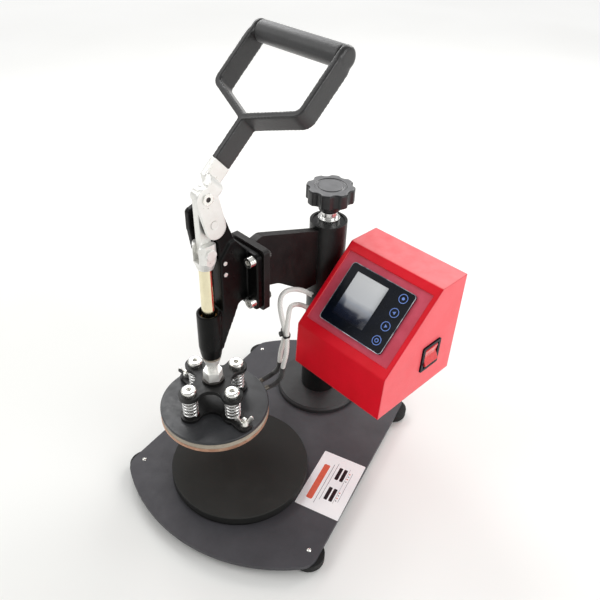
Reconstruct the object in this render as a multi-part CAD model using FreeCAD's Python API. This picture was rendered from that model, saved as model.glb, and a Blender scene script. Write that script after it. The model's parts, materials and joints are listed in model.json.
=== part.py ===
import FreeCAD, Part
import math
import os

Vector = FreeCAD.Vector

# Driving dimensions, in millimetres and degrees.
# Heights are above the deck, which is the top of the base plate, and plan positions are from the post's axis.
# The file's own frame starts on the underside of the base plate, so every node is lifted by the plate's thickness.
PLATE_T = 5.0
FOOT_H = 12.0
FOOT_R = 17.6
SWING_AT_REST = -15.4
SWING_TO_ALIGN = 12.4
SWING_AWAY = 90.0
HEAD_REACH = 176.5
PLATEN_R = 62.5
PLATEN_LOW = 73.0
PLATEN_TOP = 87.8
PAD_R = 80.8
PAD_TOP = 14.2
POST_R = 17.0
SLEEVE_R = 21.95
SLEEVE_WALL = 2.95
SLEEVE_LOW = 101.6
SLEEVE_TOP = 263.3
COLLAR_R = 23.75
FLANGE_R = 56.1
FLANGE_T = 8.0
KNOB_R = 27.7
RUN_FIT = 0.05
ROD_R = 7.15
LEVER_PIVOT = (-171.5, 327.0)
LEVER_EYE = (-177.5, 356.0)
LINK_PIN = (-176.5, 295.0)
HANDLE_LEAN = 47.9
STRAP_W = 22.0
STRAP_T = 6.5
DIP_START = 34.8
GRIP_REACH = 167.2
GRIP_HALF = 56.9
BOX_LEFT = 30.7
BOX_RIGHT = 159.8
BOX_BACK = 50.5
BOX_TOP = 246.2
BOX_LOW = 112.2
BOX_CREST = 7.9
BOX_LIP = (-74.9, 168.7)
BOX_TOE = -77.5
SHEET_T = 1.6
SPRING_R = 9.0
SPRING_WIRE = 2.6
SPRING_TURNS = 6
SPIDER_LOW = 119.0
SPIDER_T = 5.0
BRACKET_T = 4.2
SCREW_CIRCLE = 33.5
WIRE_D = 5.6

HEAD_Y = -HEAD_REACH
FOOT_SPOTS = [(116.1, -227.8), (-116.1, -227.8), (106.1, 19.2), (-106.1, 19.2)]
PAD_AT = (
    HEAD_REACH * math.sin(math.radians(SWING_AT_REST + SWING_TO_ALIGN)),
    -HEAD_REACH * math.cos(math.radians(SWING_AT_REST + SWING_TO_ALIGN)),
)
X_AXIS = Vector(1, 0, 0)
Y_AXIS = Vector(0, 1, 0)
Z_AXIS = Vector(0, 0, 1)


def box(x0, x1, y0, y1, z0, z1):
    return Part.makeBox(x1 - x0, y1 - y0, z1 - z0, Vector(x0, y0, z0))


def disc(r, z0, z1, x=0.0, y=0.0):
    return Part.makeCylinder(r, z1 - z0, Vector(x, y, z0))


def tube(r_in, r_out, z0, z1, x=0.0, y=0.0):
    return disc(r_out, z0, z1, x, y).cut(disc(r_in, z0, z1, x, y))


def cone(r_low, r_high, z0, z1, x=0.0, y=0.0):
    return Part.makeCone(r_low, r_high, z1 - z0, Vector(x, y, z0))


def bar_x(r, x0, x1, y, z):
    return Part.makeCylinder(r, x1 - x0, Vector(x0, y, z), X_AXIS)


def bar_y(r, y0, y1, x, z):
    return Part.makeCylinder(r, y1 - y0, Vector(x, y0, z), Y_AXIS)


def hexagon(across_flats, z0, z1, x=0.0, y=0.0):
    r = across_flats / math.sqrt(3.0)
    corners = [Vector(x + r * math.cos(math.radians(60 * k)), y + r * math.sin(math.radians(60 * k)), z0)
               for k in range(7)]
    return Part.Face(Part.makePolygon(corners)).extrude(Vector(0, 0, z1 - z0))


def join(first, *others):
    return first.fuse(list(others)).removeSplitter()


def corner_path(points, radii, closed):
    """Straight runs through the points, each corner rounded by a tangent arc of its own radius."""
    count = len(points)
    spots = [Vector(*p) for p in points]
    edges = []
    ends = []
    for k, spot in enumerate(spots):
        if not closed and k in (0, count - 1):
            ends.append((spot, spot, None))
            continue
        before = (spots[k - 1] - spot).normalize()
        after = (spots[(k + 1) % count] - spot).normalize()
        if radii[k] <= 0:
            ends.append((spot, spot, None))
            continue
        half = before.getAngle(after) / 2.0
        setback = radii[k] / math.tan(half)
        middle = (before + after).normalize()
        centre = spot + middle * (radii[k] / math.sin(half))
        ends.append((spot + before * setback, spot + after * setback, centre - middle * radii[k]))
    for k in range(count if closed else count - 1):
        start = ends[k][1]
        stop = ends[(k + 1) % count][0]
        if (stop - start).Length > 1e-6:
            edges.append(Part.LineSegment(start, stop).toShape())
        follow = ends[(k + 1) % count]
        if follow[2] is not None:
            edges.append(Part.Arc(follow[0], follow[2], follow[1]).toShape())
    return Part.Wire(Part.__sortEdges__(edges)) if closed else Part.Wire(edges)


def slab_z(outline, radii, z0, z1):
    """A plate with the given plan outline."""
    wire = corner_path([(x, y, z0) for x, y in outline], radii, True)
    return Part.Face(wire).extrude(Vector(0, 0, z1 - z0))


def slab_x(outline, radii, x0, x1):
    """A plate lying across X, with its outline given as (y, z)."""
    wire = corner_path([(x0, y, z) for y, z in outline], radii, True)
    return Part.Face(wire).extrude(Vector(x1 - x0, 0, 0))


def rounded_slab(x0, x1, y0, y1, z0, z1, r):
    return slab_z([(x0, y0), (x1, y0), (x1, y1), (x0, y1)], [r] * 4, z0, z1)


def save(node, solids, swings=True):
    """Write one node, turned to the rest angle if it hangs on the swing arm, and lifted onto the deck."""
    if not isinstance(solids, list):
        solids = [solids]
    placed = []
    for solid in solids:
        copy = solid.copy()
        if swings:
            copy.rotate(Vector(0, 0, 0), Z_AXIS, SWING_AT_REST)
        copy.translate(Vector(0, 0, PLATE_T))
        placed.append(copy)
    shape = placed[0] if len(placed) == 1 else Part.makeCompound(placed)
    bad = [s for s in shape.Solids if not s.isValid()]
    print(f"{node}: {len(shape.Solids)} solid(s), {shape.Volume / 1000:.2f} cm3{' INVALID' if bad else ''}")
    shape.exportStep(os.path.join("parts", node + ".step"))


# Base and post

SIDE_AT_POST = 116.3
SIDE_TAPER = 0.051
NOSE_ARC = (-94.3, 195.6)
TAIL_ARC = (-65.6, 149.4)
NOSE_CORNER_R = 22.0
TAIL_CORNER_R = 15.0
FOOT_SCREW_R = 2.4


def side_meets_arc(centre_y, r, rear):
    """The y at which the tapered side line crosses a plan arc."""
    a = 1 + SIDE_TAPER ** 2
    b = -2 * SIDE_AT_POST * SIDE_TAPER - 2 * centre_y
    c = SIDE_AT_POST ** 2 + centre_y ** 2 - r ** 2
    root = math.sqrt(b * b - 4 * a * c)
    return (-b + root) / (2 * a) if rear else (-b - root) / (2 * a)


def base_plate():
    nose_y = side_meets_arc(*NOSE_ARC, rear=False)
    tail_y = side_meets_arc(*TAIL_ARC, rear=True)
    nose_x = SIDE_AT_POST - SIDE_TAPER * nose_y
    tail_x = SIDE_AT_POST - SIDE_TAPER * tail_y
    low = -PLATE_T
    nose_tip = Vector(0, NOSE_ARC[0] - NOSE_ARC[1], low)
    tail_tip = Vector(0, TAIL_ARC[0] + TAIL_ARC[1], low)
    corners = [Vector(-nose_x, nose_y, low), Vector(nose_x, nose_y, low),
               Vector(tail_x, tail_y, low), Vector(-tail_x, tail_y, low)]
    wire = Part.Wire([
        Part.Arc(corners[0], nose_tip, corners[1]).toShape(),
        Part.LineSegment(corners[1], corners[2]).toShape(),
        Part.Arc(corners[2], tail_tip, corners[3]).toShape(),
        Part.LineSegment(corners[3], corners[0]).toShape(),
    ])
    plate = Part.Face(wire).extrude(Vector(0, 0, PLATE_T))

    def upright(radius, front):
        chosen = [e for e in plate.Edges if abs(e.tangentAt(e.FirstParameter).z) > 0.99
                  and (e.CenterOfMass.y < -100) == front]
        return plate.makeFillet(radius, chosen)

    plate = upright(NOSE_CORNER_R, True)
    plate = upright(TAIL_CORNER_R, False)
    for x, y in FOOT_SPOTS:
        plate = plate.cut(disc(FOOT_SCREW_R + 0.1, -PLATE_T, 0, x, y))
    for x, y in flange_screw_spots():
        plate = plate.cut(disc(FLANGE_SCREW_R, -PLATE_T, 0, x, y))
        plate = plate.cut(cone(FLANGE_SCREW_R * 2, FLANGE_SCREW_R, -PLATE_T, -PLATE_T + FLANGE_SCREW_R, x, y))
    plate = plate.cut(disc(PAD_SCREW_R, -PLATE_T, 0, *PAD_AT))
    plate = plate.cut(cone(PAD_SCREW_R * 2, PAD_SCREW_R, -PLATE_T, -PLATE_T + PAD_SCREW_R, *PAD_AT))
    save("base_plate", plate, swings=False)


FLANGE_SCREW_R = 2.5
FLANGE_SCREW_CIRCLE = 42.0
PAD_SCREW_R = 3.0


def flange_screw_spots():
    return [(FLANGE_SCREW_CIRCLE * math.cos(math.radians(45 + 90 * k)),
             FLANGE_SCREW_CIRCLE * math.sin(math.radians(45 + 90 * k))) for k in range(4)]


def feet():
    bevel = 3.0
    foot_low = -PLATE_T - FOOT_H
    feet_list = []
    screws = []
    for x, y in FOOT_SPOTS:
        foot = join(cone(FOOT_R - bevel / 2, FOOT_R, foot_low, foot_low + bevel, x, y),
                    disc(FOOT_R, foot_low + bevel, -PLATE_T, x, y))
        feet_list.append(foot.cut(disc(FOOT_SCREW_R, -PLATE_T - FOOT_H + 4, -PLATE_T, x, y)))
        head = Part.makeSphere(3.4, Vector(x, y, -1.9)).common(disc(3.0, 0, 2, x, y))
        screws.append(join(disc(FOOT_SCREW_R, -PLATE_T - FOOT_H + 4.5, 0, x, y), head))
    save("rubber_feet", feet_list, swings=False)
    save("foot_screws", screws, swings=False)


CARD = (95.9, -139.7, 54.5, 84.9, 3.9)


def info_card():
    x, y, wide, tall, turn = CARD
    card = rounded_slab(-wide / 2, wide / 2, -tall / 2, tall / 2, 0, 0.4, 1.0)
    card.rotate(Vector(0, 0, 0), Z_AXIS, turn)
    card.translate(Vector(x, y, 0))
    save("info_card", card, swings=False)


def lower_pad():
    x, y = PAD_AT
    carrier_t = 4.2
    carrier = disc(PAD_R - 1.4, 0, carrier_t, x, y).cut(disc(PAD_SCREW_R, 0, carrier_t, x, y))
    pad = disc(PAD_R, carrier_t, PAD_TOP, x, y)
    rim = [e for e in pad.Edges if abs(e.CenterOfMass.z - PAD_TOP) < 0.01]
    pad = pad.makeFillet(1.2, rim).cut(disc(PAD_SCREW_R, carrier_t, carrier_t + 5.5, x, y))
    screw = join(cone(PAD_SCREW_R * 2, PAD_SCREW_R, -PLATE_T, -PLATE_T + PAD_SCREW_R, x, y),
                 disc(PAD_SCREW_R, -PLATE_T + PAD_SCREW_R, carrier_t + 5, x, y))
    save("pad_carrier", carrier, swings=False)
    save("silicone_pad", pad, swings=False)
    return screw


STOP_PIN_R = 1.4
STOP_PIN_REACH = 20.5
BUSH_R = SLEEVE_R - SLEEVE_WALL
COLLAR_TOP = SLEEVE_LOW - 1.6
POST_TOP = 252.0


def post():
    flange = join(disc(FLANGE_R, 0, FLANGE_T - 3, 0, 0), cone(FLANGE_R, FLANGE_R - 2.2, FLANGE_T - 3, FLANGE_T))
    flange = flange.cut(disc(POST_R, 2.0, FLANGE_T))
    for x, y in flange_screw_spots():
        flange = flange.cut(disc(FLANGE_SCREW_R, 0, FLANGE_T - 2, x, y))
    screws = [join(cone(FLANGE_SCREW_R * 2, FLANGE_SCREW_R, -PLATE_T, -PLATE_T + FLANGE_SCREW_R, x, y),
                   disc(FLANGE_SCREW_R, -PLATE_T + FLANGE_SCREW_R, FLANGE_T - 2.5, x, y))
              for x, y in flange_screw_spots()]
    column = disc(POST_R, 2.0, POST_TOP).cut(disc(POST_R - 4, 6.0, POST_TOP - 8))
    collar = tube(POST_R, COLLAR_R, FLANGE_T, COLLAR_TOP)
    stop = disc(STOP_PIN_R, COLLAR_TOP - 8, SLEEVE_LOW + 4, 0, STOP_PIN_REACH)
    save("post_flange", flange, swings=False)
    save("post_column", column, swings=False)
    save("post_collar", join(collar, stop), swings=False)
    return screws


# Swing arm and head casting

ARM_HALF_T = 4.8
CASTING_BACK = -123.0
FLANGE_PLATE_T = 7.6
BOLT_SPOTS = [(18.5, 272.5), (-18.5, 272.5), (18.5, 221.5), (-18.5, 221.5)]
BOLT_HEAD_R = 5.7
FLANGE_HALF = 25.2
FLANGE_LOW = 211.5
FLANGE_HIGH = 280.0
BOLT_R = 3.0
EAR_NEAR = (4.7, 7.7)
BODY_NEAR = 9.5
EAR_FAR = (-19.0, -12.0)
PIVOT_R = 4.0


def stop_notch():
    """The arc cut out of the sleeve's lower rim, whose two ends meet the stop pin."""
    slack = 4.6
    start = 90 - SWING_AT_REST - SWING_TO_ALIGN - slack
    sweep = SWING_AWAY + SWING_TO_ALIGN + 2 * slack
    r = SLEEVE_R + 1
    sector = Part.makeCylinder(r, 6.0, Vector(0, 0, SLEEVE_LOW), Z_AXIS, sweep)
    sector.rotate(Vector(0, 0, 0), Z_AXIS, start)
    return sector


def sleeve():
    body = tube(BUSH_R, SLEEVE_R, SLEEVE_LOW, SLEEVE_TOP).cut(stop_notch())
    bush_len = 25.0
    lows = [COLLAR_TOP + RUN_FIT, POST_TOP - bush_len - 2]
    bushes = [tube(POST_R + RUN_FIT, BUSH_R, z, z + bush_len) for z in lows]
    plug = tube(STUD_R + RUN_FIT, BUSH_R, POST_TOP + 2.0, SLEEVE_TOP - 1.4)
    save("swing_sleeve", body)
    save("sleeve_bushes", bushes)
    save("sleeve_plug", plug)


STUD_R = 5.0
NUT_TOP = 275.0
HUB_LOW = 277.0
LOBE_LOW = 289.5
KNOB_TOP = 306.5
NOTCH_R = 7.5
NOTCH_CIRCLE = 32.0
GROOVE_IN = 14.2
GROOVE_OUT = 18.4


def lock_knob():
    collar = join(tube(STUD_R + RUN_FIT, 12.7, SLEEVE_TOP - 1.4, SLEEVE_TOP + 4),
                  tube(STUD_R + RUN_FIT, 9.6, SLEEVE_TOP + 4, NUT_TOP))
    stud = disc(STUD_R, POST_TOP + 0.4, LOBE_LOW + 8)
    star = disc(KNOB_R, LOBE_LOW, KNOB_TOP)
    for k in range(8):
        angle = math.radians(45 * k + 10)
        notch = disc(NOTCH_R, LOBE_LOW, KNOB_TOP, NOTCH_CIRCLE * math.cos(angle), NOTCH_CIRCLE * math.sin(angle))
        star = star.cut(notch)
    upright = [e for e in star.Edges if abs(e.tangentAt(e.FirstParameter).z) > 0.99
               and abs(e.CenterOfMass.z - (LOBE_LOW + KNOB_TOP) / 2) < 0.5
               and math.hypot(e.CenterOfMass.x, e.CenterOfMass.y) < KNOB_R + 0.5]
    upright = [e for e in upright if math.hypot(e.CenterOfMass.x, e.CenterOfMass.y) > KNOB_R - 0.5
               and len(e.Vertexes) == 2 and abs(e.Vertexes[0].Z - e.Vertexes[1].Z) > 10]
    star = star.makeFillet(2.6, upright)
    top = [e for e in star.Edges if e.CenterOfMass.z > KNOB_TOP - 0.01]
    star = star.makeFillet(1.8, top)
    knob = join(star, cone(12.5, 14.0, HUB_LOW, LOBE_LOW))
    knob = knob.cut(tube(GROOVE_IN, GROOVE_OUT, KNOB_TOP - 1.0, KNOB_TOP))
    save("knob_collar", collar)
    save("lock_knob", join(knob, stud))


def arm():
    back = CASTING_BACK + FLANGE_PLATE_T
    outline = [(-18.0, 184.0), (-37.5, 184.0), (-50.0, 191.5), (-82.0, 214.5), (-98.0, 219.0), (back, 219.0),
               (back, 282.6), (-106.0, 285.6), (-18.0, 257.0)]
    web = slab_x(outline, [0, 8, 20, 25, 10, 0, 0, 12, 0], -ARM_HALF_T, ARM_HALF_T)
    web = web.cut(disc(SLEEVE_R, 180, 270))
    plate = box(-FLANGE_HALF - 1.8, FLANGE_HALF + 1.8, CASTING_BACK, back, FLANGE_LOW - 3, FLANGE_HIGH + 3)
    rims = [e for e in plate.Edges if abs(e.tangentAt(e.FirstParameter).y) > 0.99]
    plate = plate.makeFillet(4.0, rims)
    for x, z in BOLT_SPOTS:
        plate = plate.cut(bar_y(BOLT_R, CASTING_BACK, back, x, z))
    save("swing_arm", web)
    save("arm_flange", plate)


def head_casting():
    front = HEAD_Y + 11.8
    web_t = 8.6
    boss_r = 13.0
    body = slab_x([(front, 214.0), (front, 282.0), (-152.0, 298.0), (-145.0, 299.0), (-131.0, 281.0),
                   (-131.0, 219.0), (-142.0, 222.0), (-150.0, 204.0), (-158.5, 187.0), (-166.0, 170.0),
                   (-176.5, 170.0), (-176.5, 214.0)],
                  [0, 3, 3, 4, 3, 4, 6, 20, 20, 0, 0, 0], -web_t, BODY_NEAR)
    near_ear = slab_x([(-164.7, 262.0), (-164.7, 303.0), (-179.0, 317.0), (-182.3, 329.0), (-175.0, 337.5),
                       (-166.5, 345.0), (-157.0, 332.0), (-152.0, 318.0), (-145.0, 299.0), (-131.0, 281.0),
                       (-131.0, 262.0)],
                      [0, 6, 6, 6, 5, 0.8, 12, 12, 10, 3, 0], *EAR_NEAR)
    far_ear = slab_x([(-164.7, 262.0), (-176.0, 276.0), (-180.0, 297.0), (-183.0, 316.0), (-183.0, 335.5),
                      (-175.0, 337.5), (-166.5, 343.0), (-157.0, 332.0), (-152.0, 318.0), (-145.0, 299.0),
                      (-140.5, 292.0), (-140.5, 262.0)],
                     [4, 5, 10, 10, 4, 5, 2, 12, 12, 4, 3, 3], *EAR_FAR)
    root = slab_x([(-164.7, 262.0), (-164.7, 282.0), (-152.0, 298.0), (-145.0, 299.0), (-141.0, 293.0),
                   (-141.0, 262.0)], [0, 3, 3, 4, 3, 0], EAR_FAR[1] - 0.5, -web_t + 0.5)
    flange = box(-FLANGE_HALF, FLANGE_HALF, -131, CASTING_BACK, FLANGE_LOW, FLANGE_HIGH)
    rims = [e for e in flange.Edges if abs(e.tangentAt(e.FirstParameter).y) > 0.99]
    flange = flange.makeFillet(5.0, rims)
    boss = join(disc(boss_r, 175, 220, 0, HEAD_Y), cone(11.0, boss_r, 160, 175, 0, HEAD_Y))
    low_rim = [e for e in boss.Edges if abs(e.CenterOfMass.z - 160) < 0.01]
    boss = boss.makeFillet(2.0, low_rim)
    casting = join(body, near_ear, far_ear, root, flange, boss)
    casting = casting.cut(disc(BUSH_OUT, 158, 214, 0, HEAD_Y))
    casting = casting.cut(disc(RECESS_R, 214, 262, 0, HEAD_Y))
    casting = casting.cut(bar_x(PIVOT_R, EAR_FAR[0], EAR_NEAR[1], *LEVER_PIVOT))
    for x, z in BOLT_SPOTS:
        casting = casting.cut(bar_y(BOLT_R, -131, CASTING_BACK, x, z))
    for y, z in WEB_SCREWS:
        casting = casting.cut(bar_x(2.0, BODY_NEAR - 8, BODY_NEAR, y, z))
    save("head_casting", casting)


BUSH_OUT = 9.0
RECESS_R = 9.8
WEB_SCREWS = [(-159.0, 277.0), (-159.0, 263.5)]


def casting_fasteners():
    back = CASTING_BACK + FLANGE_PLATE_T
    bolts = []
    nuts = []
    for x, z in BOLT_SPOTS:
        head = bar_y(BOLT_HEAD_R, -138.0, -131.0, x, z).cut(bar_y(2.9, -138.0, -134.5, x, z))
        bolts.append(join(head, bar_y(BOLT_R, -131.0, back + 7, x, z)))
        nut = hexagon(10.0, 0, 5.0)
        nut.rotate(Vector(0, 0, 0), X_AXIS, -90)
        nut.translate(Vector(x, back, z))
        nuts.append(nut.cut(bar_y(BOLT_R, back, back + 5, x, z)))
    near = BODY_NEAR
    grubs = [join(bar_x(2.0, near - 7, near, y, z), bar_x(2.3, near, near + 0.45, y, z)) for y, z in WEB_SCREWS]
    save("casting_bolts", bolts + nuts)
    save("web_screws", grubs)
    save("guide_bush", tube(ROD_R + RUN_FIT, BUSH_OUT, 161, 214, 0, HEAD_Y))


# Lever, toggle link and plunger

CHEEK = (8.1, 12.3)
CHEEK_EYE_R = 12.0
CHEEK_FOOT = (-168.9, 321.6)
CHEEK_FOOT_R = 11.4
BRIDGE_NEAR_EYE = 9.6
BRIDGE_END = 20.0
BRIDGE_HALF = 9.5
LINK_HALF_T = 4.0
LINK_SIDE_GAP = 0.15
LINK_ROOM_HALF = 8.2
LINK_ANGLE_DOWN = 60.0
EYE_R = 7.4
PIN_HEAD_T = 1.4
PIN_DIMPLE_R = 2.5


def on_lever(shape):
    """Turn a shape built flat (X across, Y along the handle, Z square to it) onto the leaning lever."""
    shape.rotate(Vector(0, 0, 0), X_AXIS, 90 - HANDLE_LEAN)
    shape.translate(Vector(0, *LEVER_EYE))
    return shape


def cheek():
    """The side plate that carries the pivot and the eye, with a round lobe at each end."""
    x0, x1 = CHEEK
    upper = bar_x(CHEEK_EYE_R, x0, x1, *LEVER_EYE)
    lower = bar_x(CHEEK_FOOT_R, x0, x1, *CHEEK_FOOT)
    top, foot = Vector(x0, *LEVER_EYE), Vector(x0, *CHEEK_FOOT)
    along = (top - foot).normalize()
    side = Vector(0, along.z, -along.y)
    waist = Part.Face(Part.makePolygon([
        foot + side * CHEEK_FOOT_R, top + side * CHEEK_EYE_R, top - side * CHEEK_EYE_R,
        foot - side * CHEEK_FOOT_R, foot + side * CHEEK_FOOT_R])).extrude(Vector(x1 - x0, 0, 0))
    return join(upper, lower, waist)


def lever():
    bridge = box(-STRAP_T / 2, CHEEK[1], BRIDGE_NEAR_EYE, BRIDGE_END, -BRIDGE_HALF, BRIDGE_HALF)
    shoulder = [e for e in bridge.Edges if abs(e.tangentAt(e.FirstParameter).z) > 0.99
                and e.CenterOfMass.x > CHEEK[1] - 1 and e.CenterOfMass.y > BRIDGE_END - 1]
    bridge = on_lever(bridge.makeFillet(7.0, shoulder))
    bar = on_lever(box(-STRAP_T / 2, STRAP_T / 2, BRIDGE_NEAR_EYE, DIP_START, -STRAP_W / 2, STRAP_W / 2))
    link_room = box(-LINK_HALF_T - 0.2, LINK_HALF_T + LINK_SIDE_GAP, 0, 45, -LINK_ROOM_HALF, LINK_ROOM_HALF)
    link_room.rotate(Vector(0, 0, 0), X_AXIS, LINK_ANGLE_DOWN)
    fork = join(cheek(), bridge, bar).cut(on_lever(link_room))
    fork = fork.cut(bar_x(PIVOT_R + RUN_FIT, *CHEEK, *LEVER_PIVOT)).cut(bar_x(PIVOT_R, *CHEEK, *LEVER_EYE))
    eye_pin = join(bar_x(PIVOT_R, CHEEK[0], CHEEK[1], *LEVER_EYE),
                   bar_x(5.4, LINK_HALF_T + LINK_SIDE_GAP, CHEEK[0], *LEVER_EYE),
                   bar_x(5.8, CHEEK[1], CHEEK[1] + PIN_HEAD_T, *LEVER_EYE))
    eye_pin = eye_pin.cut(bar_x(PIN_DIMPLE_R, CHEEK[1] + PIN_HEAD_T / 2, CHEEK[1] + PIN_HEAD_T, *LEVER_EYE))
    pivot_pins = [bar_x(PIVOT_R, EAR_NEAR[0], CHEEK[1] + 0.3, *LEVER_PIVOT),
                  join(bar_x(PIVOT_R, EAR_FAR[0], EAR_FAR[1], *LEVER_PIVOT),
                       bar_x(5.6, EAR_FAR[0] - 1.6, EAR_FAR[0], *LEVER_PIVOT))]
    save("lever_fork", fork)
    save("eye_pins", eye_pin)
    save("lever_pivot_pins", pivot_pins)


JUNCTION = 79.5
SIDE_CORNER = 101.8
GRIP_BAR_HALF = 8.0
GRIP_R = 10.8
GRIP_END_R = 11.0


def handle():
    half_w = STRAP_W / 2
    half_t = STRAP_T / 2
    loop = [(0, JUNCTION, -half_w), (GRIP_HALF, SIDE_CORNER, -half_w), (GRIP_HALF, GRIP_REACH, -half_w),
            (-GRIP_HALF, GRIP_REACH, -half_w), (-GRIP_HALF, SIDE_CORNER, -half_w)]
    middle = corner_path(loop, [7.0, 9.0, 11.0, 11.0, 9.0], True)
    outer = Part.Face(middle.makeOffset2D(half_t))
    inner = Part.Face(middle.makeOffset2D(-half_t))
    hoop = outer.cut(inner).extrude(Vector(0, 0, STRAP_W))
    inside = GRIP_HALF - half_t
    for z0, z1 in ((GRIP_BAR_HALF, half_w + 1), (-half_w - 1, -GRIP_BAR_HALF)):
        hoop = hoop.cut(box(-inside, inside, GRIP_REACH - GRIP_END_R - 1, GRIP_REACH + 9, z0, z1))
    outside = inside + STRAP_T
    for x0 in (-outside, inside):
        end = Part.makeCylinder(GRIP_END_R, STRAP_T, Vector(x0, GRIP_REACH, 0), X_AXIS)
        rim = [e for e in end.Edges if abs(abs(e.CenterOfMass.x) - outside) < 0.01]
        hoop = join(hoop, end.makeFillet(3.6, rim))
    stem = box(-half_t, half_t, DIP_START, JUNCTION, -half_w, half_w)
    frame = on_lever(join(hoop, stem))
    grip = on_lever(Part.makeCylinder(GRIP_R, 2 * inside, Vector(-inside, GRIP_REACH, 0), X_AXIS))
    save("handle_frame", frame)
    save("handle_grip", grip.cut(frame))


CLEVIS_HALF = 10.2
CLEVIS_SLOT = 4.4
CLEVIS_LOW = 276.0
CLEVIS_TOP = 305.0


def toggle_link():
    eye_y, eye_z = LEVER_EYE
    low = bar_x(EYE_R - 0.6, -LINK_HALF_T, LINK_HALF_T, *LINK_PIN)
    high = bar_x(EYE_R, -LINK_HALF_T, LINK_HALF_T, eye_y, eye_z)
    shank = slab_x([(LINK_PIN[0] - 6, LINK_PIN[1]), (LINK_PIN[0] + 6, LINK_PIN[1]), (eye_y + 6, eye_z),
                    (eye_y - 6, eye_z)], [0] * 4, -LINK_HALF_T, LINK_HALF_T)
    link = join(low, high, shank).cut(bar_x(PIVOT_R + RUN_FIT, -LINK_HALF_T, LINK_HALF_T, *LINK_PIN))
    save("toggle_link", link)


def plunger():
    block = box(-CLEVIS_HALF, CLEVIS_HALF, HEAD_Y - CLEVIS_HALF, HEAD_Y + CLEVIS_HALF, CLEVIS_LOW, CLEVIS_TOP)
    turned = join(cone(8.6, CLEVIS_HALF * 1.12, CLEVIS_LOW, CLEVIS_LOW + 9, 0, HEAD_Y),
                  disc(CLEVIS_HALF * 1.12, CLEVIS_LOW + 9, CLEVIS_TOP, 0, HEAD_Y))
    clevis = block.common(turned)
    top_edges = [e for e in clevis.Edges if abs(e.CenterOfMass.z - CLEVIS_TOP) < 0.01
                 and abs(e.tangentAt(e.FirstParameter).x) > 0.99]
    clevis = clevis.makeFillet(5.0, top_edges)
    clevis = clevis.cut(box(-CLEVIS_SLOT, CLEVIS_SLOT, HEAD_Y - 12, HEAD_Y + 12, LINK_PIN[1] - 9.6, CLEVIS_TOP + 1))
    clevis = clevis.cut(bar_x(PIVOT_R, -12, 12, *LINK_PIN))
    pin = join(bar_x(PIVOT_R, -CLEVIS_HALF, CLEVIS_HALF, *LINK_PIN),
               bar_x(5.8, CLEVIS_HALF, CLEVIS_HALF + 2.2, *LINK_PIN))
    rod = disc(ROD_R, 158, CLEVIS_LOW, 0, HEAD_Y)
    collar = cone(6.2, 10.5, 145, 158, 0, HEAD_Y)
    spindle = disc(6.0, SPIDER_LOW - 3, 145, 0, HEAD_Y)
    nut = hexagon(19.0, 127.5, 139, 0, HEAD_Y).common(cone(14.5, 10.2, 127.5, 139.8, 0, HEAD_Y))
    nut = nut.cut(disc(6.0, 127, 142, 0, HEAD_Y))
    washer = tube(6.0, 12.5, SPIDER_LOW + SPIDER_T, 127.5, 0, HEAD_Y)
    save("rod_clevis", clevis)
    save("clevis_pin", pin)
    save("plunger_rod", rod)
    save("spindle", join(spindle, collar))
    save("lock_nut", nut)
    save("spindle_washer", washer)


# Sprung platen

SCREW_R = 3.0
BRACKET_TOP = PLATEN_TOP + BRACKET_T
CLAMP_REACH = 53.0
WING_TURN = -42.0
LOBE_R = 12.0


def lobe_centres():
    return [(SCREW_CIRCLE * math.cos(math.radians(90 * k)), HEAD_Y + SCREW_CIRCLE * math.sin(math.radians(90 * k)))
            for k in range(4)]


def cross_outline(reach, lobe_r, bay_depth):
    """A four-lobed plate outline: round lobes on the axes and a round bay on each diagonal."""
    far = (reach ** 2 - (lobe_r - bay_depth) ** 2) / (2 * (reach * math.cos(math.pi / 4) + lobe_r - bay_depth))
    bay_r = far - bay_depth
    edges = []
    for k in range(4):
        turn = math.radians(90 * k)
        diagonals = [turn - math.pi / 4, turn + math.pi / 4]
        lobe = Vector(reach * math.cos(turn), reach * math.sin(turn), 0)
        bays = [Vector(far * math.cos(a), far * math.sin(a), 0) for a in diagonals]
        touch = [lobe + (bay - lobe).normalize() * lobe_r for bay in bays]
        tip = Vector((reach + lobe_r) * math.cos(turn), (reach + lobe_r) * math.sin(turn), 0)
        edges.append(Part.Arc(touch[0], tip, touch[1]).toShape())
        after = Vector(-lobe.y, lobe.x, 0)
        next_touch = after + (bays[1] - after).normalize() * lobe_r
        hollow = Vector((far - bay_r) * math.cos(diagonals[1]), (far - bay_r) * math.sin(diagonals[1]), 0)
        edges.append(Part.Arc(touch[1], hollow, next_touch).toShape())
    return Part.Wire(edges)


def cross_plate(reach, lobe_r, bay_depth, z0, z1):
    plate = Part.Face(cross_outline(reach, lobe_r, bay_depth)).extrude(Vector(0, 0, z1 - z0))
    plate.translate(Vector(0, HEAD_Y, z0))
    return plate


def spider():
    plate = cross_plate(SCREW_CIRCLE, LOBE_R, 20.0, SPIDER_LOW, SPIDER_LOW + SPIDER_T)
    plate = plate.cut(disc(6.0, SPIDER_LOW - 1, SPIDER_LOW + SPIDER_T + 1, 0, HEAD_Y))
    for x, y in lobe_centres():
        plate = plate.cut(disc(SCREW_R + 0.3, SPIDER_LOW - 1, SPIDER_LOW + SPIDER_T + 1, x, y))
    save("spider_plate", plate)


def tangent_arc(start, heading, stop):
    """The arc that leaves start along heading and ends at stop."""
    chord = stop - start
    toward = Vector(chord).normalize()
    angle = heading.getAngle(toward)
    lean = (Vector(heading).normalize() + toward).normalize()
    middle = start + lean * (chord.Length / 2 / math.cos(angle / 2))
    return Part.Arc(start, middle, stop).toShape()


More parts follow.
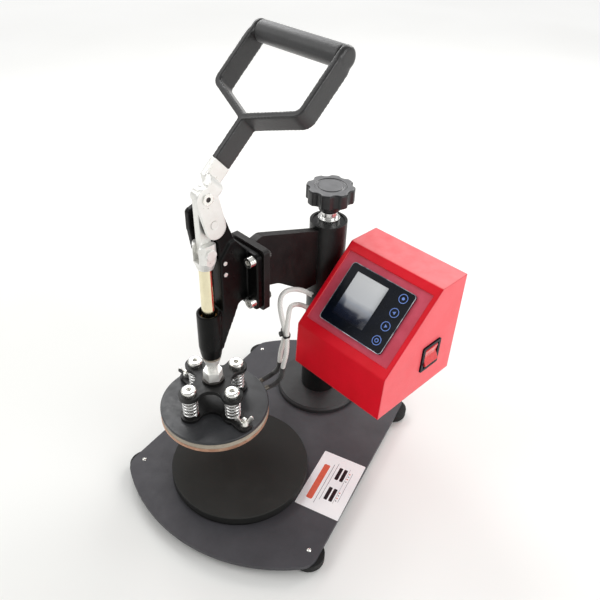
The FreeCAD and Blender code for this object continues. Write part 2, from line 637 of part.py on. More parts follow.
def spring(x, y, z0, z1):
    """One round-wire compression spring as a single unbroken tube."""
    mean_r = SPRING_R - SPRING_WIRE / 2
    low = z0 + SPRING_WIRE / 2
    rise = (z1 - z0 - SPRING_WIRE) / (2 * math.pi * SPRING_TURNS)

    def spot(a):
        return Vector(mean_r * math.cos(a), mean_r * math.sin(a), rise * a)

    def heading(a):
        return Vector(-mean_r * math.sin(a), mean_r * math.cos(a), rise).normalize()

    edges = []
    quarter = math.pi / 2
    for k in range(4 * SPRING_TURNS):
        a0, a1 = k * quarter, (k + 1) * quarter
        p0, p1, t0, t1 = spot(a0), spot(a1), heading(a0), heading(a1)
        chord, total = p1 - p0, t0 + t1
        blend = 2 * (1 - t0.dot(t1))
        along = chord.dot(total)
        reach = (math.sqrt(along ** 2 + blend * chord.dot(chord)) - along) / blend
        half = ((p0 + t0 * reach) + (p1 - t1 * reach)) * 0.5
        edges.append(tangent_arc(p0, t0, half))
        edges.append(tangent_arc(half, (half - (p0 + t0 * reach)).normalize(), p1))
    spine = Part.Wire(edges)
    ring = Part.Wire(Part.makeCircle(SPRING_WIRE / 2, spot(0), heading(0)))
    sweep = Part.BRepOffsetAPI.MakePipeShell(spine)
    sweep.add(ring)
    sweep.build()
    sweep.makeSolid()
    coil = sweep.shape()
    coil.translate(Vector(x, y, low))
    return coil


def spring_gap():
    """The least distance between the wire's surfaces one turn apart, measured on points of the wire's middle."""
    mean_r = SPRING_R - SPRING_WIRE / 2
    rise = (SPIDER_LOW - BRACKET_TOP - 0.2 - SPRING_WIRE) / (2 * math.pi * SPRING_TURNS)
    steps = 72
    points = [Vector(mean_r * math.cos(k * math.tau / steps), mean_r * math.sin(k * math.tau / steps),
                     rise * k * math.tau / steps) for k in range(2 * steps)]
    gaps = [(points[j] - points[0]).Length for j in range(steps // 2, 2 * steps)]
    return min(gaps) - SPRING_WIRE


def springs_and_screws():
    coils = []
    screws = []
    for x, y in lobe_centres():
        coils.append(spring(x, y, BRACKET_TOP + 0.1, SPIDER_LOW - 0.1))
        head = disc(8.5, SPIDER_LOW + SPIDER_T, SPIDER_LOW + SPIDER_T + 6.2, x, y)
        rim = [e for e in head.Edges if e.CenterOfMass.z > SPIDER_LOW + SPIDER_T + 6]
        head = head.makeFillet(2.4, rim)
        head = head.cut(disc(3.2, SPIDER_LOW + SPIDER_T + 2.4, SPIDER_LOW + SPIDER_T + 6.2, x, y))
        screws.append(join(head, disc(SCREW_R, PLATEN_TOP - 2, SPIDER_LOW + SPIDER_T, x, y)))
    print(f"spring: {SPRING_TURNS} turns, least gap to itself {spring_gap():.2f} mm")
    save("platen_springs", coils)
    save("spring_screws", screws)


def lower_bracket():
    plate = cross_plate(SCREW_CIRCLE, LOBE_R, 20.0, PLATEN_TOP, BRACKET_TOP)
    ears = rounded_slab(-CLAMP_REACH - 7.4, CLAMP_REACH + 7.4, HEAD_Y - 9, HEAD_Y + 9, PLATEN_TOP, BRACKET_TOP, 7)
    plate = join(plate, ears)
    for x, y in lobe_centres():
        plate = plate.cut(disc(SCREW_R, PLATEN_TOP, BRACKET_TOP, x, y))
    for x in (-CLAMP_REACH, CLAMP_REACH):
        plate = plate.cut(disc(2.6, PLATEN_TOP, BRACKET_TOP, x, HEAD_Y))
    save("lower_bracket", plate)


def wing_nuts():
    nuts = []
    studs = []
    for x in (-CLAMP_REACH, CLAMP_REACH):
        barrel = cone(5.4, 4.2, BRACKET_TOP, BRACKET_TOP + 6.5, x, HEAD_Y)
        wing = slab_x([(-4.0, 1.0), (4.0, 1.0), (10.5, 8.0), (10.0, 12.5), (6.5, 12.5), (3.0, 6.0), (-3.0, 6.0),
                       (-6.5, 12.5), (-10.0, 12.5), (-10.5, 8.0)], [0, 0, 2, 1.8, 1.8, 2, 2, 1.8, 1.8, 2], -1.2, 1.2)
        wing.rotate(Vector(0, 0, 0), Z_AXIS, WING_TURN)
        wing.translate(Vector(x, HEAD_Y, BRACKET_TOP))
        nuts.append(join(barrel, wing).cut(disc(2.5, BRACKET_TOP, BRACKET_TOP + 14, x, HEAD_Y)))
        studs.append(disc(2.5, PLATEN_TOP - 2, BRACKET_TOP + 9, x, HEAD_Y))
    save("wing_nuts", nuts)
    save("clamp_studs", studs)


COVER_LOW = 84.6
HEATER_R = 2.6


def platen():
    cover = disc(PLATEN_R, COVER_LOW, PLATEN_TOP, 0, HEAD_Y)
    rim = [e for e in cover.Edges if abs(e.CenterOfMass.z - PLATEN_TOP) < 0.01]
    cover = cover.makeFillet(1.0, rim)
    for x, y in lobe_centres():
        cover = cover.cut(disc(SCREW_R, PLATEN_TOP - 2, PLATEN_TOP, x, y))
    for x in (-CLAMP_REACH, CLAMP_REACH):
        cover = cover.cut(disc(2.5, PLATEN_TOP - 2, PLATEN_TOP, x, HEAD_Y))
    insulation = disc(PLATEN_R - 0.6, 77.4, COVER_LOW, 0, HEAD_Y)
    plate = disc(PLATEN_R, PLATEN_LOW, 77.4, 0, HEAD_Y)
    low_rim = [e for e in plate.Edges if abs(e.CenterOfMass.z - PLATEN_LOW) < 0.01]
    plate = plate.makeFillet(0.8, low_rim)
    ring = Part.makeTorus(38.0, HEATER_R, Vector(0, HEAD_Y, 77.4), Z_AXIS)
    for x, y, direction in terminals():
        insulation = insulation.cut(terminal_body(x, y, direction))
    save("platen_cover", cover)
    save("insulation_disc", insulation.cut(ring))
    save("heating_platen", plate.cut(ring))
    save("heater_element", [ring] + [terminal_body(*t) for t in terminals()])


# Heater wires

TERMINAL_ANGLES = (86.0, 74.0)
TERMINAL_FACE = 69.0
TERMINAL_Z = 81.0
TERMINAL_R = 2.9


def terminals():
    found = []
    for angle in TERMINAL_ANGLES:
        out = Vector(math.cos(math.radians(angle)), math.sin(math.radians(angle)), 0)
        found.append((TERMINAL_FACE * out.x, HEAD_Y + TERMINAL_FACE * out.y, out))
    return found


def terminal_body(x, y, out):
    depth = 14.0
    start = Vector(x, y, TERMINAL_Z) - out * depth
    return Part.makeCylinder(TERMINAL_R, depth, start, out)


def cord_path(points):
    """Straight runs joined by arcs as large as the shorter run at each point allows."""
    spots = [Vector(*p) for p in points]
    radii = [0.0]
    for k in range(1, len(spots) - 1):
        before, after = spots[k] - spots[k - 1], spots[k + 1] - spots[k]
        turn = before.getAngle(after)
        radii.append(0.45 * min(before.Length, after.Length) / math.tan(turn / 2))
    radii.append(0.0)
    return corner_path(points, radii, False), radii[1:-1]


def cord(name, points, diameter):
    path, radii = cord_path(points)
    start = Vector(*points[0])
    heading = Vector(*points[1]) - start
    ring = Part.Wire(Part.makeCircle(diameter / 2, start, heading))
    solid = path.makePipeShell([ring], True, False)
    expected = math.pi * diameter ** 2 / 4 * path.Length
    print(f"{name}: length {path.Length:.1f}, radii {', '.join(f'{r:.0f}' for r in radii)},"
          f" volume {solid.Volume:.0f} against {expected:.0f}")
    return solid


GLAND_AT = [(-45.0, 189.0), (-52.0, 174.0)]
GLAND_REACH = 6.0
WIRE_ROUTES = [
    [(17.0, -45.0, 189.0), (11.5, -51.5, 193.5), (10.5, -63.0, 200.0), (11.0, -76.0, 204.5), (13.5, -87.0, 203.0),
     (18.5, -93.0, 195.0), (24.5, -95.0, 183.0), (30.0, -95.0, 169.0), (30.0, -96.5, 153.0),
     (26.5, -97.5, 138.0), (24.5, -97.0, 124.0)],
    [(16.5, -52.0, 174.0), (12.0, -58.0, 176.5), (14.5, -69.0, 182.5), (20.5, -79.5, 185.5), (27.5, -88.0, 181.5),
     (33.0, -95.0, 173.0), (37.5, -98.5, 161.0), (39.5, -100.5, 147.0), (37.5, -101.0, 133.0),
     (33.5, -100.0, 121.0)],
]
SLEEVE_ROUTES = [
    [(22.5, -95.5, 111.5), (17.5, -93.0, 100.5), (12.5, -91.5, 91.0), (7.5, -93.0, 84.2), (5.2, -99.0, TERMINAL_Z)],
    [(31.0, -98.5, 110.5), (27.5, -96.5, 100.5), (24.5, -95.0, 91.0), (21.6, -97.0, 84.0), (20.3, -103.6, TERMINAL_Z)],
]


def heater_wires():
    """Each wire is white from the control box down to the split, then runs in a black heat sleeve to the platen."""
    whites = []
    sleeves = []
    for k, (x, y, out) in enumerate(terminals()):
        gland_y, gland_z = GLAND_AT[k]
        start = (BOX_LEFT - GLAND_REACH, gland_y, gland_z)
        above = WIRE_ROUTES[k][-1]
        below = SLEEVE_ROUTES[k][0]
        split = tuple((a + b) / 2 for a, b in zip(above, below))
        last = tuple(Vector(x, y, TERMINAL_Z) + out * 7.0)
        whites.append(cord(f"heater wire {k + 1}", [start] + WIRE_ROUTES[k] + [split], WIRE_D))
        route = [split] + SLEEVE_ROUTES[k][:-1] + [last, (x, y, TERMINAL_Z)]
        sleeves.append(cord(f"heat sleeve {k + 1}", route, WIRE_D + 0.6))
    save("heater_wires", whites)
    save("heat_sleeves", sleeves)
    glands = []
    for y, z in GLAND_AT:
        gland = join(bar_x(5.4, BOX_LEFT - GLAND_REACH + 2, BOX_LEFT, y, z),
                     bar_x(3.6, BOX_LEFT - GLAND_REACH, BOX_LEFT - GLAND_REACH + 2, y, z),
                     bar_x(4.0, BOX_LEFT, BOX_LEFT + SHEET_T + 0.9, y, z))
        glands.append(gland)
    save("wire_glands", glands)
    tie = cable_tie()
    for white in whites:
        tie = tie.cut(white)
    save("cable_tie", tie)


TIE_AT = (31.9, -95.8, 166.0)


def cable_tie():
    """A flat band round both wires, with its lock head in front; the wires are cut out of it afterwards."""
    outer = rounded_slab(-7.9, 7.9, -4.4, 4.4, -1.8, 1.8, 4.3)
    inner = rounded_slab(-6.8, 6.8, -3.3, 3.3, -2.0, 2.0, 3.2)
    head = box(-2.6, 2.6, -7.6, -4.0, -2.4, 2.4)
    band = join(outer.cut(inner), head)
    band.rotate(Vector(0, 0, 0), Y_AXIS, 14.0)
    band.rotate(Vector(0, 0, 0), Z_AXIS, -24.0)
    band.translate(Vector(*TIE_AT))
    return band


# Control box

SLANT_TURN = math.degrees(math.atan2(BOX_TOP - BOX_LIP[1], BOX_CREST - BOX_LIP[0]))
PANEL = (36.0, 154.0, 11.0, 102.0)
BEZEL = (50.0, 139.0, 20.0, 94.0)
LCD = (61.0, 106.0, 27.6, 82.0)
TOUCH_X = 127.0
TOUCH_AT = (29.6, 47.4, 64.4, 82.1)
ROCKER = (-11.2, 20.3, 140.4, 175.4)


def on_slant(shape):
    """Turn a shape built flat (X across, Y up the slope, Z outward) onto the sloping front of the box."""
    shape.rotate(Vector(0, 0, 0), X_AXIS, SLANT_TURN)
    shape.translate(Vector(0, BOX_CREST, BOX_TOP))
    return shape


def box_profile(inset):
    """The side outline of the box, moved in by the sheet's thickness for its hollow."""
    outline = [(BOX_BACK, BOX_LOW, 0), (BOX_BACK, BOX_TOP, 0), (BOX_CREST, BOX_TOP, 0),
               (BOX_LIP[0], BOX_LIP[1], 0), (BOX_TOE, BOX_LOW, 0)]
    wire = corner_path(outline, [0] * 5, True)
    if inset:
        wire = wire.makeOffset2D(-inset)
    face = Part.Face(wire)
    face.Placement = FreeCAD.Placement(Vector(0, 0, 0), FreeCAD.Rotation(Vector(1, 1, 1), 120))
    return face


def control_box():
    outer = box_profile(0).extrude(Vector(BOX_RIGHT - BOX_LEFT, 0, 0))
    outer.translate(Vector(BOX_LEFT, 0, 0))
    bends = [e for e in outer.Edges if abs(e.tangentAt(e.FirstParameter).x) > 0.99
             and e.CenterOfMass.y < BOX_BACK - 1 and e.CenterOfMass.z > BOX_LOW + 1]
    outer = outer.makeFillet(3.0, bends)
    inner = box_profile(SHEET_T).extrude(Vector(BOX_RIGHT - BOX_LEFT - 2 * SHEET_T, 0, 0))
    inner.translate(Vector(BOX_LEFT + SHEET_T, 0, 0))
    bends = [e for e in inner.Edges if abs(e.tangentAt(e.FirstParameter).x) > 0.99
             and e.CenterOfMass.y < BOX_BACK - 3 and e.CenterOfMass.z > BOX_LOW + 3]
    inner = inner.makeFillet(3.0 - SHEET_T, bends)
    back_hole = box(BOX_LEFT + SHEET_T, BOX_RIGHT - SHEET_T, BOX_BACK - 2 * SHEET_T, BOX_BACK,
                    BOX_LOW + SHEET_T, BOX_TOP - SHEET_T)
    shell = outer.cut(inner).cut(back_hole)
    x0, x1, s0, s1 = PANEL
    window = on_slant(rounded_slab(x0, x1, -s1, -s0, -3, 3, 1.0))
    shell = shell.cut(window)
    y0, y1, z0, z1 = ROCKER
    shell = shell.cut(box(BOX_RIGHT - SHEET_T - 1, BOX_RIGHT + 1, y0 + 1.5, y1 - 1.5, z0 + 1.5, z1 - 1.5))
    for y, z in GLAND_AT:
        shell = shell.cut(bar_x(4.0, BOX_LEFT - 1, BOX_LEFT + SHEET_T + 1, y, z))
    for y, z in BRACKET_SCREWS:
        shell = shell.cut(bar_x(2.5, BOX_LEFT - 1, BOX_LEFT + SHEET_T + 1, y, z))
    save("box_shell", shell)

    cover = box(BOX_LEFT + SHEET_T, BOX_RIGHT - SHEET_T, BOX_BACK - SHEET_T, BOX_BACK, BOX_LOW + SHEET_T,
                BOX_TOP - SHEET_T)
    inlet_hole = box(*INLET_X, BOX_BACK - SHEET_T - 1, BOX_BACK + 1, *INLET_Z)
    cover = cover.cut(inlet_hole)
    for x, z in COVER_SCREWS:
        cover = cover.cut(bar_y(1.6, BOX_BACK - SHEET_T - 1, BOX_BACK + 1, x, z))
    for k in range(6):
        z = 200.0 + 5.0 * k
        cover = cover.cut(box(75, 115, BOX_BACK - SHEET_T - 1, BOX_BACK + 1, z, z + 2.2))
    save("box_back_cover", cover)
    lugs = [join(bar_y(1.6, BOX_BACK - 8, BOX_BACK, x, z), bar_y(3.0, BOX_BACK, BOX_BACK + 1.4, x, z))
            for x, z in COVER_SCREWS]
    return lugs


BRACKET_SCREWS = [(0.0, 155.0), (0.0, 175.0)]
INLET_X = (120.0, 147.0)
INLET_Z = (122.0, 142.0)
COVER_SCREWS = [(37.0, 118.0), (153.5, 118.0), (37.0, 240.0), (153.5, 240.0)]
BRACKET_X = 20.5


def box_mounting():
    bracket = box(BRACKET_X, BOX_LEFT, -15, 15, 145, 185).cut(disc(SLEEVE_R, 140, 190))
    for y, z in BRACKET_SCREWS:
        bracket = bracket.cut(bar_x(2.5, BRACKET_X, BOX_LEFT, y, z))
    screws = [join(bar_x(2.5, BOX_LEFT - 6, BOX_LEFT + SHEET_T, y, z),
                   bar_x(4.6, BOX_LEFT + SHEET_T, BOX_LEFT + SHEET_T + 3, y, z)) for y, z in BRACKET_SCREWS]
    save("box_bracket", bracket)
    return screws


def controller():
    x0, x1, s0, s1 = PANEL
    bx0, bx1, bs0, bs1 = BEZEL
    lx0, lx1, ls0, ls1 = LCD
    panel = rounded_slab(x0 - 2, x1 + 1.5, -s1 - 2, -s0 + 2, -3.2, -SHEET_T, 1.0)
    panel = panel.cut(rounded_slab(bx0 + 3, bx1 - 3, -bs1 + 3, -bs0 - 3, -4, 0, 1.0))
    bezel = rounded_slab(bx0, bx1, -bs1, -bs0, -SHEET_T, 1.0, 3.0)
    bezel = join(bezel, rounded_slab(bx0 + 3.2, bx1 - 3.2, -bs1 + 3.2, -bs0 - 3.2, -14, -SHEET_T, 1.0))
    bezel = bezel.cut(rounded_slab(lx0, lx1, -ls1, -ls0, -0.4, 1.0, 0.8))
    bezel = bezel.cut(rounded_slab(bx0 + 5, bx1 - 5, -bs1 + 5, -bs0 - 5, -14, -2.4, 1.0))
    glass = rounded_slab(lx0, lx1, -ls1, -ls0, -0.4, 0.8, 0.8)
    rings = []
    for s in TOUCH_AT:
        rings.append(tube(4.6, 5.5, 1.0, 1.3, TOUCH_X, -s))
    board = rounded_slab(bx0 + 7, bx1 - 7, -bs1 + 7, -bs0 - 7, -9.0, -7.4, 1.0)
    save("panel_plate", on_slant(panel))
    save("controller_bezel", on_slant(bezel))
    save("display_window", on_slant(glass))
    save("touch_rings", [on_slant(r) for r in rings])
    save("controller_board", on_slant(board))


ROCKER_TILT = 9.0


def rocker_switch():
    y0, y1, z0, z1 = ROCKER
    mid_y, mid_z = (y0 + y1) / 2, (z0 + z1) / 2
    bezel = slab_x([(y0, z0), (y1, z0), (y1, z1), (y0, z1)], [2] * 4, BOX_RIGHT, BOX_RIGHT + 2.0)
    body = box(BOX_RIGHT - 20, BOX_RIGHT, y0 + 1.6, y1 - 1.6, z0 + 1.6, z1 - 1.6)
    well = box(BOX_RIGHT - 16, BOX_RIGHT + 3, y0 + 4, y1 - 4, z0 + 3.5, z1 - 3.5)
    save("switch_bezel", join(bezel, body).cut(well))
    pivot_x = BOX_RIGHT - 5.0
    half = (z1 - z0) / 2 - 4.6
    valley = pivot_x + 5.5
    crest = pivot_x + 9.5
    root = pivot_x - 5.0
    cap = Part.Face(Part.makePolygon([
        Vector(root, y0 + 4.3, mid_z - 5), Vector(crest, y0 + 4.3, mid_z - half),
        Vector(valley, y0 + 4.3, mid_z), Vector(crest, y0 + 4.3, mid_z + half),
        Vector(root, y0 + 4.3, mid_z + 5), Vector(root, y0 + 4.3, mid_z - 5)])).extrude(
            Vector(0, y1 - y0 - 8.6, 0))
    reach = Part.makeCylinder(half, y1 - y0, Vector(pivot_x, y0, mid_z), Y_AXIS)
    cap = cap.common(reach)
    cap.rotate(Vector(pivot_x, mid_y, mid_z), Y_AXIS, -ROCKER_TILT)
    save("rocker", cap)


def power_inlet():
    x0, x1 = INLET_X
    z0, z1 = INLET_Z
    flange = box(x0 - 2, x1 + 2, BOX_BACK, BOX_BACK + 2.2, z0 - 2, z1 + 2)
    body = box(x0, x1, BOX_BACK - 18, BOX_BACK, z0, z1)
    socket = box(x0 + 2, x1 - 2, BOX_BACK - 14, BOX_BACK + 3, z0 + 2, z1 - 2)
    mid_x, mid_z = (x0 + x1) / 2, (z0 + z1) / 2
    blades = []
    for x, z in ((mid_x - 7, mid_z - 2), (mid_x + 7, mid_z - 2), (mid_x, mid_z + 2.5)):
        blades.append(box(x - 1, x + 1, BOX_BACK - 15, BOX_BACK - 6.5, z - 2, z + 2))
    shell = join(flange, body).cut(socket)
    for blade in blades:
        shell = shell.cut(blade)
    save("power_inlet", [shell] + blades)
    relay = box(60, 105, BOX_BACK - SHEET_T - 22, BOX_BACK - SHEET_T, 125, 183)
    save("heater_relay", relay)


def main():
    os.makedirs("parts", exist_ok=True)
    base_plate()
    feet()
    info_card()
    save("base_screws", [lower_pad()] + post(), swings=False)
    sleeve()
    lock_knob()
    arm()
    head_casting()
    casting_fasteners()
    lever()
    handle()
    toggle_link()
    plunger()
    spider()
    springs_and_screws()
    lower_bracket()
    wing_nuts()
    platen()
    heater_wires()
    save("box_screws", control_box() + box_mounting())
    controller()
    rocker_switch()
    power_inlet()


main()
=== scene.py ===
import bpy
import bmesh
import json
import math
from mathutils import Matrix, Vector

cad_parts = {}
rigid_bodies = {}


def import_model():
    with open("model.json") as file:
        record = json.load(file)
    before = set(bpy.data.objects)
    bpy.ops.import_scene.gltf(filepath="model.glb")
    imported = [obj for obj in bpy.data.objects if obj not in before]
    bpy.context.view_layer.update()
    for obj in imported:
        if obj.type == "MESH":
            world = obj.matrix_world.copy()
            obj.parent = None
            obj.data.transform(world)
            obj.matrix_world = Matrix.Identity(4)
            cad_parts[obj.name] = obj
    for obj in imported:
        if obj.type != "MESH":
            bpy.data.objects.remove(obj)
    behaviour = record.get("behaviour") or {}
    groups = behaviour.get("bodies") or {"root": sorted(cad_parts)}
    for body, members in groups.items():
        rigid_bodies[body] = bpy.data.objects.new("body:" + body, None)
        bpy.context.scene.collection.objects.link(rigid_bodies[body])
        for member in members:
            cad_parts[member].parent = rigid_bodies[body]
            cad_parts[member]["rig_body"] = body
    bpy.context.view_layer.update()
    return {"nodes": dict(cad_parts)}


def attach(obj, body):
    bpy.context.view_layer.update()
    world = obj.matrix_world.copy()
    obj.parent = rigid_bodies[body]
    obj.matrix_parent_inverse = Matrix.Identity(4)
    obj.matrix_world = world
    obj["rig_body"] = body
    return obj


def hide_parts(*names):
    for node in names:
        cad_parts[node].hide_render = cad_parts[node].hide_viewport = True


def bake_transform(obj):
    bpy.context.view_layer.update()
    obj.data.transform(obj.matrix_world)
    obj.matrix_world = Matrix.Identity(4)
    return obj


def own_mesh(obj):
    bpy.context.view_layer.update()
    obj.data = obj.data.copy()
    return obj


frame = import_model()
nodes = frame["nodes"]

# Places and sizes are in millimetres above the deck unless a comment says metres
SWING = math.radians(-15.4)  # the swing arm's angle at rest
LIFT = 5.0  # the deck's height above the frame's origin
HEAD_Y = -176.5  # the plunger's axis, along the swing arm
EYE_Y, EYE_Z = -177.5, 356.0  # the lever's eye pin
NOISE_LOW, NOISE_HIGH = 0.3, 0.7  # where nearly all of a noise texture's values lie
scene = bpy.context.scene
scene.view_settings.view_transform = "Standard"


def deck(p):
    """A point given in millimetres above the deck, in the row frame."""
    return Vector((p[0], p[1], p[2] + LIFT)) / 1000


def swung(p):
    """A point given in the swing arm's own millimetres, in the row frame at rest."""
    x, y, z = p
    c, s = math.cos(SWING), math.sin(SWING)
    return deck((x * c - y * s, x * s + y * c, z))


SWUNG = Matrix.Translation((0, 0, LIFT / 1000)) @ Matrix.Rotation(SWING, 4, "Z")


# Camera

CAMERA_AT = (0.2920, -0.5812, 0.6397)  # metres
CAMERA_TURNS = (29.3, -36.9, 2.1)  # yaw, pitch and roll in degrees
CAMERA_LENS = 38.63
CAMERA_SHIFT = -0.0017


def aim_camera():
    yaw, pitch, roll = (math.radians(turn) for turn in CAMERA_TURNS)
    forward = Vector((-math.sin(yaw) * math.cos(pitch), math.cos(yaw) * math.cos(pitch), math.sin(pitch)))
    right = Vector((math.cos(yaw), math.sin(yaw), 0))
    up = right.cross(forward)
    rolled_right = right * math.cos(roll) + up * math.sin(roll)
    rolled_up = up * math.cos(roll) - right * math.sin(roll)
    data = bpy.data.cameras.new("camera")
    data.sensor_width = 36
    data.lens = CAMERA_LENS
    data.shift_y = CAMERA_SHIFT
    data.clip_start = 0.01
    data.clip_end = 50
    camera = bpy.data.objects.new("camera", data)
    scene.collection.objects.link(camera)
    turn = Matrix((rolled_right, rolled_up, -forward)).transposed()
    camera.matrix_world = Matrix.Translation(CAMERA_AT) @ turn.to_4x4()
    scene.camera = camera


aim_camera()


# Cords: white heater wires and their black heat sleeves

WIRE_D = 0.0056  # metres
SLEEVE_D = 0.0062  # metres
WIRE_ROUTES = [
    [(24.7, -45.0, 189.0), (17.0, -45.0, 189.0), (11.5, -51.5, 193.5), (10.5, -63.0, 200.0),
     (11.0, -76.0, 204.5), (13.5, -87.0, 203.0), (18.5, -93.0, 195.0), (24.5, -95.0, 183.0),
     (30.0, -95.0, 169.0), (30.0, -96.5, 153.0), (26.5, -97.5, 138.0), (24.5, -97.0, 124.0),
     (23.5, -96.25, 117.75)],
    [(24.7, -52.0, 174.0), (16.5, -52.0, 174.0), (12.0, -58.0, 176.5), (14.5, -69.0, 182.5),
     (20.5, -79.5, 185.5), (27.5, -88.0, 181.5), (33.0, -95.0, 173.0), (37.5, -98.5, 161.0),
     (39.5, -100.5, 147.0), (37.5, -101.0, 133.0), (33.5, -100.0, 121.0), (32.25, -99.25, 115.75)],
]
SLEEVE_ROUTES = [
    [(23.5, -96.25, 117.75), (22.5, -95.5, 111.5), (17.5, -93.0, 100.5), (12.5, -91.5, 91.0),
     (7.5, -93.0, 84.2), (5.3, -100.69, 81.0), (4.81, -107.67, 81.0)],
    [(32.25, -99.25, 115.75), (31.0, -98.5, 110.5), (27.5, -96.5, 100.5), (24.5, -95.0, 91.0),
     (21.6, -97.0, 84.0), (20.95, -103.44, 81.0), (19.02, -110.17, 81.0)],
]


def spline_points(name, points):
    """The points of the smooth line that has the route's points as its control points."""
    curve = bpy.data.curves.new(name, "CURVE")
    curve.dimensions = "3D"
    curve.resolution_u = 14
    spline = curve.splines.new("NURBS")
    spline.points.add(len(points) - 1)
    for spot, p in zip(spline.points, points):
        spot.co = (*swung(p), 1)
    spline.order_u = 3
    spline.use_endpoint_u = True
    holder = bpy.data.objects.new(name, curve)
    scene.collection.objects.link(holder)
    bpy.context.view_layer.update()
    mesh = bpy.data.meshes.new_from_object(holder)
    line = [v.co.copy() for v in mesh.vertices]
    bpy.data.objects.remove(holder)
    bpy.data.meshes.remove(mesh)
    return line


def frames_along(line):
    """A steady pair of side directions at each point of a line."""
    tangents = []
    for k in range(len(line)):
        a, b = line[max(k - 1, 0)], line[min(k + 1, len(line) - 1)]
        tangents.append((b - a).normalized())
    side = tangents[0].orthogonal().normalized()
    pairs = []
    for t in tangents:
        side = (side - t * side.dot(t)).normalized()
        pairs.append((side, t.cross(side)))
    return pairs


def tube_mesh(name, line, radius, around=20, swell=None):
    """A closed tube along a line; swell(share) scales its radius at a share of its points."""
    pairs = frames_along(line)
    verts, faces = [], []
    count = len(line)
    for k, (p, (u, v)) in enumerate(zip(line, pairs)):
        r = radius * (swell(k / (count - 1)) if swell else 1)
        for j in range(around):
            a = math.tau * j / around
            verts.append(p + u * (r * math.cos(a)) + v * (r * math.sin(a)))
    for k in range(count - 1):
        for j in range(around):
            n = (j + 1) % around
            faces.append((k * around + j, k * around + n, (k + 1) * around + n, (k + 1) * around + j))
    faces.append(tuple(reversed(range(around))))
    faces.append(tuple((count - 1) * around + j for j in range(around)))
    mesh = bpy.data.meshes.new(name)
    mesh.from_pydata([tuple(v) for v in verts], [], faces)
    layer = mesh.uv_layers.new(name="lay")
    reach = [0.0]
    for a, b in zip(line, line[1:]):
        reach.append(reach[-1] + (b - a).length)
    for poly in mesh.polygons:
        poly.use_smooth = len(poly.vertices) == 4
        idx = [mesh.loops[i].vertex_index for i in poly.loop_indices]
        wraps = len(poly.vertices) == 4 and {i % around for i in idx} == {0, around - 1}
        for i, v in zip(poly.loop_indices, idx):
            j = v % around
            if wraps and j == 0:
                j = around
            layer.data[i].uv = (j / around, reach[v // around] / (math.tau * radius))
    return mesh


def show(name, mesh, body, material, stands_for=()):
    """A visible piece. It rides on a body, if one is given, and stands for its CAD nodes."""
    obj = bpy.data.objects.new(name, mesh)
    scene.collection.objects.link(obj)
    mesh.materials.clear()
    mesh.materials.append(material)
    if body:
        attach(obj, body)
    if stands_for:
        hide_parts(*stands_for)
    return obj


# Materials

def srgb(r, g, b):
    def one(v):
        v = v / 255
        return v / 12.92 if v <= 0.04045 else ((v + 0.055) / 1.055) ** 2.4
    return (one(r), one(g), one(b), 1.0)


